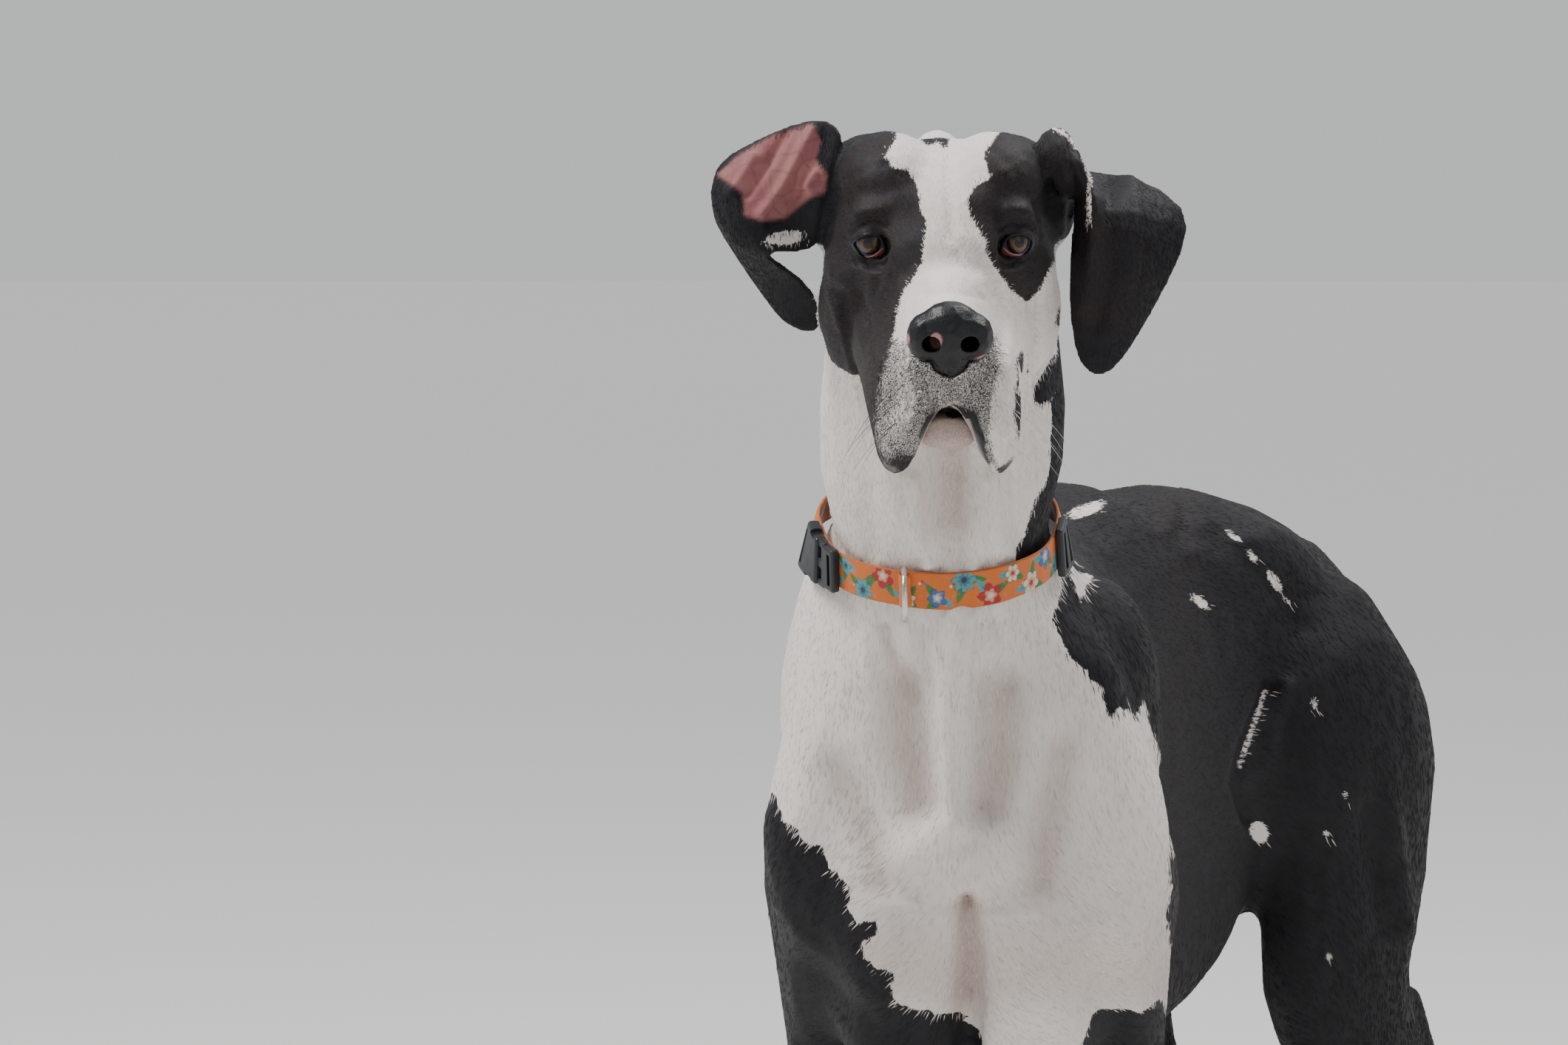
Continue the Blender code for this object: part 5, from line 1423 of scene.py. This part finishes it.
def strap_radii():
    """The outer radius of the strap at its lower and upper edge, every two degrees."""
    tree = tree_of(nodes["collar_strap"].data)
    angles = np.radians(np.arange(0, 360, 2))
    found = np.zeros((len(angles), 2))
    for i, angle in enumerate(angles):
        for k, up in enumerate((-0.46 * COLLAR_HEIGHT, 0.46 * COLLAR_HEIGHT)):
            start, axis = collar_point(angle, np.array(0.25), up), collar_point(angle, np.array(0.0), up)
            hit = tree.ray_cast(Vector(start), Vector(axis - start).normalized(), 0.25)
            found[i, k] = 0.25 - hit[3] if hit[0] else np.nan
    sleeve = np.abs((angles - RING_ANGLE + math.pi) % (2 * math.pi) - math.pi) < math.radians(5)
    good = ~sleeve & np.isfinite(found).all(axis=1)
    wrapped = np.concatenate([angles[good] - 2 * math.pi, angles[good], angles[good] + 2 * math.pi])
    return wrapped, np.concatenate([found[good]] * 3)


STRAP_ANGLES, STRAP_FOUND = strap_radii()


def strap_radius(angle, up):
    """The strap's outer radius at an angle and a height from -0.5 to 0.5 of the strap's."""
    angle = np.asarray(angle) % (2 * math.pi)
    low, high = (np.interp(angle, STRAP_ANGLES, STRAP_FOUND[:, k]) for k in range(2))
    return low + (high - low) * (up / 0.92 + 0.5)


def blossom(u, v, radius, count, turn):
    """How far inside a flower's outline points lie."""
    angle, far = np.arctan2(v, u) + turn, np.hypot(u, v)
    return radius * (0.60 + 0.40 * np.abs(np.cos(angle * count / 2))) - far


def leaf(u, v, length, width, turn):
    """The same for a pointed leaf that starts at the origin."""
    along = u * math.cos(turn) + v * math.sin(turn) - length / 2
    aside = -u * math.sin(turn) + v * math.cos(turn)
    return width * (1 - (2 * along / length) ** 2) - np.abs(aside + 0.12 * along**2 / length)


def laid(colour, inside_by, paint):
    """Paints where inside_by is above 0."""
    cover = smoothstep(inside_by, -0.00025, 0.00025)[:, None]
    return colour * (1 - cover) + np.array(paint) * cover


def strap_print(u, v):
    """A plain floral pattern: blossoms, leaves and dots on orange, as a colour for each point."""
    colour = np.tile(np.array(ORANGE), (len(u), 1))
    kinds = ((BLUE, CREAM, 5), (CREAM, RED, 6), (RED, CREAM, 5), (TEAL, DEEP, 8))
    for number, middle in enumerate(np.arange(0.008, u.max(), BLOSSOM_STEP)):
        petal, heart, count = kinds[(number * 3 + number // 4) % 4]
        height = 0.0062 * (1 if number % 2 else -1) + float(rng.normal(0, 0.0012))
        turn = float(rng.uniform(0, 6))
        near = np.flatnonzero(np.abs(u - middle) < 0.025)
        du, dv = u[near] - middle, v[near] - height
        part = colour[near]
        radius = 0.0096 if number % 3 else 0.0070
        for spin in (0.5, 2.3, 4.1):
            within = leaf(du, dv, radius * 1.9, 0.0030, turn + spin)
            part = laid(part, within, LEAF if spin < 4 else TEAL)
            part = laid(part, 0.00025 - np.abs(within - 0.0030), DEEP)
        ring = tuple(0.5 * a + 0.5 * b for a, b in zip(petal, heart))
        part = laid(part, blossom(du, dv, radius + 0.0006, count, turn), DEEP)
        part = laid(part, blossom(du, dv, radius, count, turn), petal)
        part = laid(part, blossom(du, dv, radius * 0.55, count, turn + 0.6), ring)
        part = laid(part, radius * 0.24 - np.hypot(du, dv), heart)
        dot_u, dot_v = du - 0.0105, dv + height * 1.75
        for k in range(3):
            far = np.hypot(dot_u - 0.0021 * k, dot_v - 0.0014 * (k % 2))
            part = laid(part, 0.0011 - far, (CREAM, RED, BLUE)[(k + number) % 3])
        colour[near] = part
    edge = COLLAR_HEIGHT / 2 - np.abs(v)
    return laid(colour, 0.0011 - edge, tuple(0.72 * c for c in ORANGE))


def strap_material():
    """Printed cloth with a woven bump and a little wear."""
    made, tree, shader = material("strap_cloth", roughness=0.62, Sheen_Weight=0.10, Specular_IOR_Level=0.35)
    weave = attribute(tree, "weave").outputs["Vector"]
    across, along = (
        node(tree, "TexWave", {"bands_direction": way}, Vector=weave, Scale=scale).outputs[1]
        for way, scale in (("X", 330.0), ("Y", 260.0))
    )
    threads = calc(tree, "MULTIPLY", across, along)
    value = node(tree, "MapRange", Value=threads, To_Min=0.80, To_Max=1.08).outputs[0]
    print_colour = attribute(tree, "print").outputs["Color"]
    shade = node(tree, "HueSaturation", Color=print_colour, Value=value).outputs[0]
    worn = ramp(tree, noise(tree, 140, 4.0, 0.6, weave), 0.55, 0.85)
    coloured(tree, shader, mixed(tree, worn, shade, (0.60, 0.30, 0.16)))
    bumped(tree, shader, threads, 0.0003, 0.5)
    return made


def cloth(name, mesh, print_colours, weave, stands_for=()):
    add_attribute(mesh, "print", print_colours, "FLOAT_COLOR")
    add_attribute(mesh, "weave", weave, "FLOAT_VECTOR")
    piece(name, mesh, strap_material(), stands_for)


def make_strap():
    """The printed strap: a closed band round the neck with rounded edges."""
    columns = STRAP_COLUMNS
    angle = np.linspace(0, 2 * math.pi, columns, endpoint=False)
    levels = np.linspace(-0.5, 0.5, STRAP_ROWS)
    outer = [(level, -0.0011 * max(0.0, (abs(level) - 0.47) / 0.03) ** 2) for level in levels]
    section = outer + [(0.46, -COLLAR_THICK), (0.0, -COLLAR_THICK), (-0.46, -COLLAR_THICK)]
    mean = float(strap_radius(angle, 0.0).mean())
    rings, weave = [], []
    for level, off in section:
        up = np.full(columns, level * COLLAR_HEIGHT)
        rings.append(collar_point(angle, strap_radius(angle, level) + off, up))
        weave.append(np.stack([angle * mean, up, np.zeros(columns)], axis=1))
    weave = np.concatenate(weave)
    mesh = mesh_from("strap", np.concatenate(rings), ring_quads(len(section), columns, closed=True))
    cloth("collar_band", mesh, strap_print(weave[:, 0], weave[:, 1]), weave, ("collar_strap",))


def rounded(size, at, bevel):
    bm = bmesh.new()
    bmesh.ops.create_cube(bm, size=1, matrix=Matrix.Translation(at) @ Matrix.Diagonal((*size, 1)))
    bmesh.ops.bevel(bm, geom=bm.edges, offset=bevel, segments=4, profile=0.6, affect="EDGES")
    return bm


def carved(blocks, holes):
    """One mesh: several rounded blocks joined, less the holes. Sizes in metres, X along the strap."""
    shapes = []
    for size, at, bevel in (*blocks, *holes):
        mesh = bpy.data.meshes.new("block")
        bm = rounded(size, at, bevel)
        bm.to_mesh(mesh)
        bm.free()
        shapes.append(new_object("block", mesh))
    first, others = shapes[0], shapes[1:]
    for number, other in enumerate(others):
        cut = first.modifiers.new("shape", "BOOLEAN")
        cut.operation = "UNION" if number < len(blocks) - 1 else "DIFFERENCE"
        cut.solver = "EXACT"
        cut.object = other
    mesh = apply_modifiers(first)
    for other in others:
        bpy.data.objects.remove(other, do_unlink=True)
    bm = bmesh.new()
    bm.from_mesh(mesh)
    bmesh.ops.triangulate(bm, faces=bm.faces)
    long_edges = [e for e in bm.edges if e.calc_length() > 0.006]
    bmesh.ops.subdivide_edges(bm, edges=long_edges, cuts=3)
    bmesh.ops.triangulate(bm, faces=bm.faces)
    bm.to_mesh(mesh)
    bm.free()
    return mesh


def bend_round(mesh, angle):
    """Lays a flat mesh on the strap: X along it, Y outwards, Z across."""
    x, y, z = points_of(mesh).T
    base = strap_radius(np.full(len(x), angle), 0.0)
    turned = angle + x / base
    out = strap_radius(turned, z / COLLAR_HEIGHT * 0.92) + GAP + y
    set_points(mesh, collar_point(turned, out, z))


def plastic_material():
    made, tree, shader = material("plastic", roughness=0.38)
    grain = noise(tree, 2600, 2.0, 0.5, position(tree))
    coloured(tree, shader, mixed(tree, grain, (0.010, 0.011, 0.014), (0.022, 0.024, 0.028)))
    roughened(tree, shader, grain, 0.32, 0.48)
    bumped(tree, shader, grain, 0.0001, 0.35)
    return made


def metal_material():
    made, tree, shader = material("metal", roughness=0.25, Metallic=1.0)
    grain = noise(tree, 1500, 3.0, 0.6, position(tree))
    coloured(tree, shader, mixed(tree, grain, (0.62, 0.61, 0.59), (0.74, 0.73, 0.71)))
    roughened(tree, shader, grain, 0.18, 0.36)
    bumped(tree, shader, grain, 0.00005, 0.3)
    return made


# Blocks and holes: size, middle and rounding.
BUCKLE_BLOCKS = (
    ((0.037, 0.0090, 0.036), (-0.0115, 0.0048, 0), 0.0032),
    ((0.018, 0.0070, 0.033), (0.0215, 0.0038, 0), 0.0024),
    ((0.014, 0.0052, 0.0050), (0.0100, 0.0045, 0.0150), 0.0018),
    ((0.014, 0.0052, 0.0050), (0.0100, 0.0045, -0.0150), 0.0018),
    ((0.012, 0.0052, 0.0075), (0.0090, 0.0045, 0), 0.0018),
)
BUCKLE_HOLES = (
    ((0.012, 0.020, 0.0042), (-0.0060, 0.0045, 0.0170), 0.0012),
    ((0.012, 0.020, 0.0042), (-0.0060, 0.0045, -0.0170), 0.0012),
    ((0.0040, 0.020, 0.026), (-0.0245, 0.0045, 0), 0.0010),
    ((0.0040, 0.020, 0.024), (0.0250, 0.0045, 0), 0.0010),
)
SLIDER_BLOCKS = (((0.028, 0.0060, 0.037), (0, 0.0033, 0), 0.0022),)
SLIDER_HOLES = (
    ((0.0062, 0.020, 0.028), (-0.0068, 0.0045, 0), 0.0012),
    ((0.0062, 0.020, 0.028), (0.0068, 0.0045, 0), 0.0012),
)


def make_ring_loop():
    """The loop of cloth that holds the ring."""
    arch = [math.radians(a) for a in range(0, 181, 15)]
    outer = [(LOOP_HALF * math.cos(a), 0.0002 + 0.0056 * math.sin(a)) for a in arch]
    inner = [((LOOP_HALF - 0.0012) * math.cos(a), 0.0002 + 0.0044 * math.sin(a)) for a in arch[::-1]]
    section = np.array(outer + inner)
    count = len(section)
    levels = np.linspace(-0.43, 0.43, 15)
    turned = RING_ANGLE + section[:, 0] / float(strap_radius(RING_ANGLE, 0.0))
    rings = []
    for level in levels:
        out = strap_radius(turned, level) + section[:, 1]
        rings.append(collar_point(turned, out, np.full(count, level * COLLAR_HEIGHT)))
    ends = []
    for base, flip in ((0, 1), ((len(levels) - 1) * count, -1)):
        for k in range(len(arch) - 1):
            ends.append((base + k, base + k + 1, base + count - 2 - k, base + count - 1 - k)[::flip])
    mesh = mesh_from("loop", np.concatenate(rings), ring_quads(len(levels), count) + ends)
    bm = bmesh.new()
    bm.from_mesh(mesh)
    bmesh.ops.recalc_face_normals(bm, faces=bm.faces)
    bm.to_mesh(mesh)
    bm.free()
    cloth("ring_loop", mesh, np.tile(np.array(ORANGE), (len(mesh.vertices), 1)), points_of(mesh))


def dressed(name, finish, levels):
    """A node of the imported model, rounded and in a better material."""
    shown = nodes[name]
    shown.modifiers.new("weld", "WELD").merge_threshold = 1e-5
    rounding = shown.modifiers.new("round", "SUBSURF")
    rounding.levels = rounding.render_levels = levels
    shown.data.materials.clear()
    shown.data.materials.append(finish)


def make_collar():
    make_strap()
    plastic, metal = plastic_material(), metal_material()
    for name, angle, blocks, holes in (
        ("buckle", BUCKLE_ANGLE, BUCKLE_BLOCKS, BUCKLE_HOLES),
        ("slider", SLIDER_ANGLE, SLIDER_BLOCKS, SLIDER_HOLES),
    ):
        mesh = carved(blocks, holes)
        bend_round(mesh, angle)
        piece(name + "_shell", mesh, plastic, ("collar_" + name,))
        mesh.shade_flat()
    make_ring_loop()
    dressed("collar_ring", metal, 2)


def make_claws():
    made, tree, shader = material("claw", roughness=0.35)
    streaks = noise(tree, 500, 3.0, 0.6, position(tree))
    coloured(tree, shader, mixed(tree, streaks, (0.045, 0.038, 0.032), (0.16, 0.13, 0.10)))
    bumped(tree, shader, streaks, 0.0002, 0.4)
    for name in nodes:
        if name.startswith("claw_"):
            dressed(name, made, 1)


# Whiskers: the side they grow to, their roots in pixels of the photo, and their colour.
WHISKER_GROUPS = (
    ("whiskers_left", 1, [
        (1356, 520), (1372, 528), (1384, 540), (1358, 545), (1374, 556), (1388, 566), (1362, 572),
        (1378, 584), (1366, 600),
    ], (0.62, 0.60, 0.56)),
    ("whiskers_right", -1, [
        (1222, 520), (1206, 528), (1194, 540), (1216, 545), (1202, 556), (1190, 566), (1212, 572),
        (1200, 586),
    ], (0.03, 0.028, 0.03)),
)
WHISKER_THICK, WHISKER_TIP, WHISKER_STEPS = 0.00026, 0.00004, 9
WHISKER_DROOP = np.array([0, 0.035, -0.35])
CORNERS = (0, 1.571, 3.142, 4.712)  # round a whisker, in radians


def whisker_material(name, paint):
    made, tree, shader = material(name, paint, 0.4)
    grain = noise(tree, 700, 2.0, 0.5, position(tree))
    coloured(tree, shader, mixed(tree, grain, paint, tuple(min(1.0, 1.25 * c) for c in paint)))
    return made


def make_whiskers(tree):
    steps, sides = WHISKER_STEPS, len(CORNERS)
    for name, side, roots, paint in WHISKER_GROUPS:
        co, quads, tris = [], [], []
        for pixel in roots:
            root = np.array(tree.ray_cast(CAMERA_PLACE, camera_ray(pixel), 6.0)[0])
            length = float(rng.uniform(0.026, 0.052))
            out, forward, down = rng.uniform(0.55, 0.85), rng.uniform(0.25, 0.55), rng.uniform(0.25, 0.65)
            way = np.array([side * out, -forward, -down])
            way = way / np.linalg.norm(way) @ HEAD_ARRAY[:3, :3].T
            aside = np.cross(way, [0.1, 0.2, 1.0])
            aside /= np.linalg.norm(aside)
            third = np.cross(way, aside)
            base = len(co)
            for t in np.arange(steps) / steps:
                spot = root + way * length * (t - 0.03) + WHISKER_DROOP * length * t * t
                radius = WHISKER_THICK * (1 - t) + WHISKER_TIP
                co += [spot + radius * (aside * math.cos(a) + third * math.sin(a)) for a in CORNERS]
            co.append(root + way * length + WHISKER_DROOP * length)
            top = base + sides * steps
            quads += ring_quads(steps, sides, base)
            quads.append(tuple(base + c for c in range(sides))[::-1])
            tris += [(top - sides + c, top - sides + (c + 1) % sides, top) for c in range(sides)]
        mesh = mesh_from(name, np.array(co), quads, tris)
        piece(name, mesh, whisker_material(name, paint))


make_collar()
make_claws()
make_whiskers(tree_of(head_mesh))


# Floor and light


def make_stage():
    floor_material, tree, shader = material("floor", (0.74, 0.73, 0.71), 0.9)
    grain = noise(tree, 3.0, 3.0)
    coloured(tree, shader, mixed(tree, grain, (0.72, 0.715, 0.70), (0.76, 0.755, 0.74)))
    bm = bmesh.new()
    bmesh.ops.create_circle(bm, cap_ends=True, segments=96, radius=40)
    mesh = bpy.data.meshes.new("floor")
    bm.to_mesh(mesh)
    bm.free()
    floor = new_object("floor", mesh)
    mesh.materials.append(floor_material)
    world = bpy.data.worlds.new("studio")
    bpy.context.scene.world = world
    world.use_nodes = True
    tree = world.node_tree
    background = tree.nodes["Background"]
    height = node(tree, "SeparateXYZ", in0=node(tree, "TexCoord").outputs["Generated"]).outputs[2]
    sky = mixed(tree, ramp(tree, height, 0.10, 0.45), (0.93, 0.94, 0.95), (0.46, 0.475, 0.50))
    tree.links.new(sky, background.inputs["Color"])
    background.inputs["Strength"].default_value = 0.66
    sun = bpy.data.lights.new("sun", "SUN")
    sun.energy, sun.angle = 2.1, math.radians(16)
    made = bpy.data.objects.new("sun", sun)
    bpy.context.scene.collection.objects.link(made)
    made.rotation_euler = Vector((-0.55, -0.22, 1.0)).to_track_quat("Z", "Y").to_euler()
    for name, place, size, power in (
        ("key", (-2.4, -2.2, 4.2), 1.2, 90),
        ("fill", (3.4, -2.4, 2.0), 2.4, 12),
        ("top", (0.8, 1.2, 3.8), 2.0, 90),
    ):
        light = bpy.data.lights.new(name, "AREA")
        light.size = size
        light.energy = power
        made = bpy.data.objects.new(name, light)
        bpy.context.scene.collection.objects.link(made)
        made.location = place
        made.rotation_euler = (Vector(place) - Vector((0, -0.1, 0.7))).to_track_quat("Z", "Y").to_euler()


make_stage()
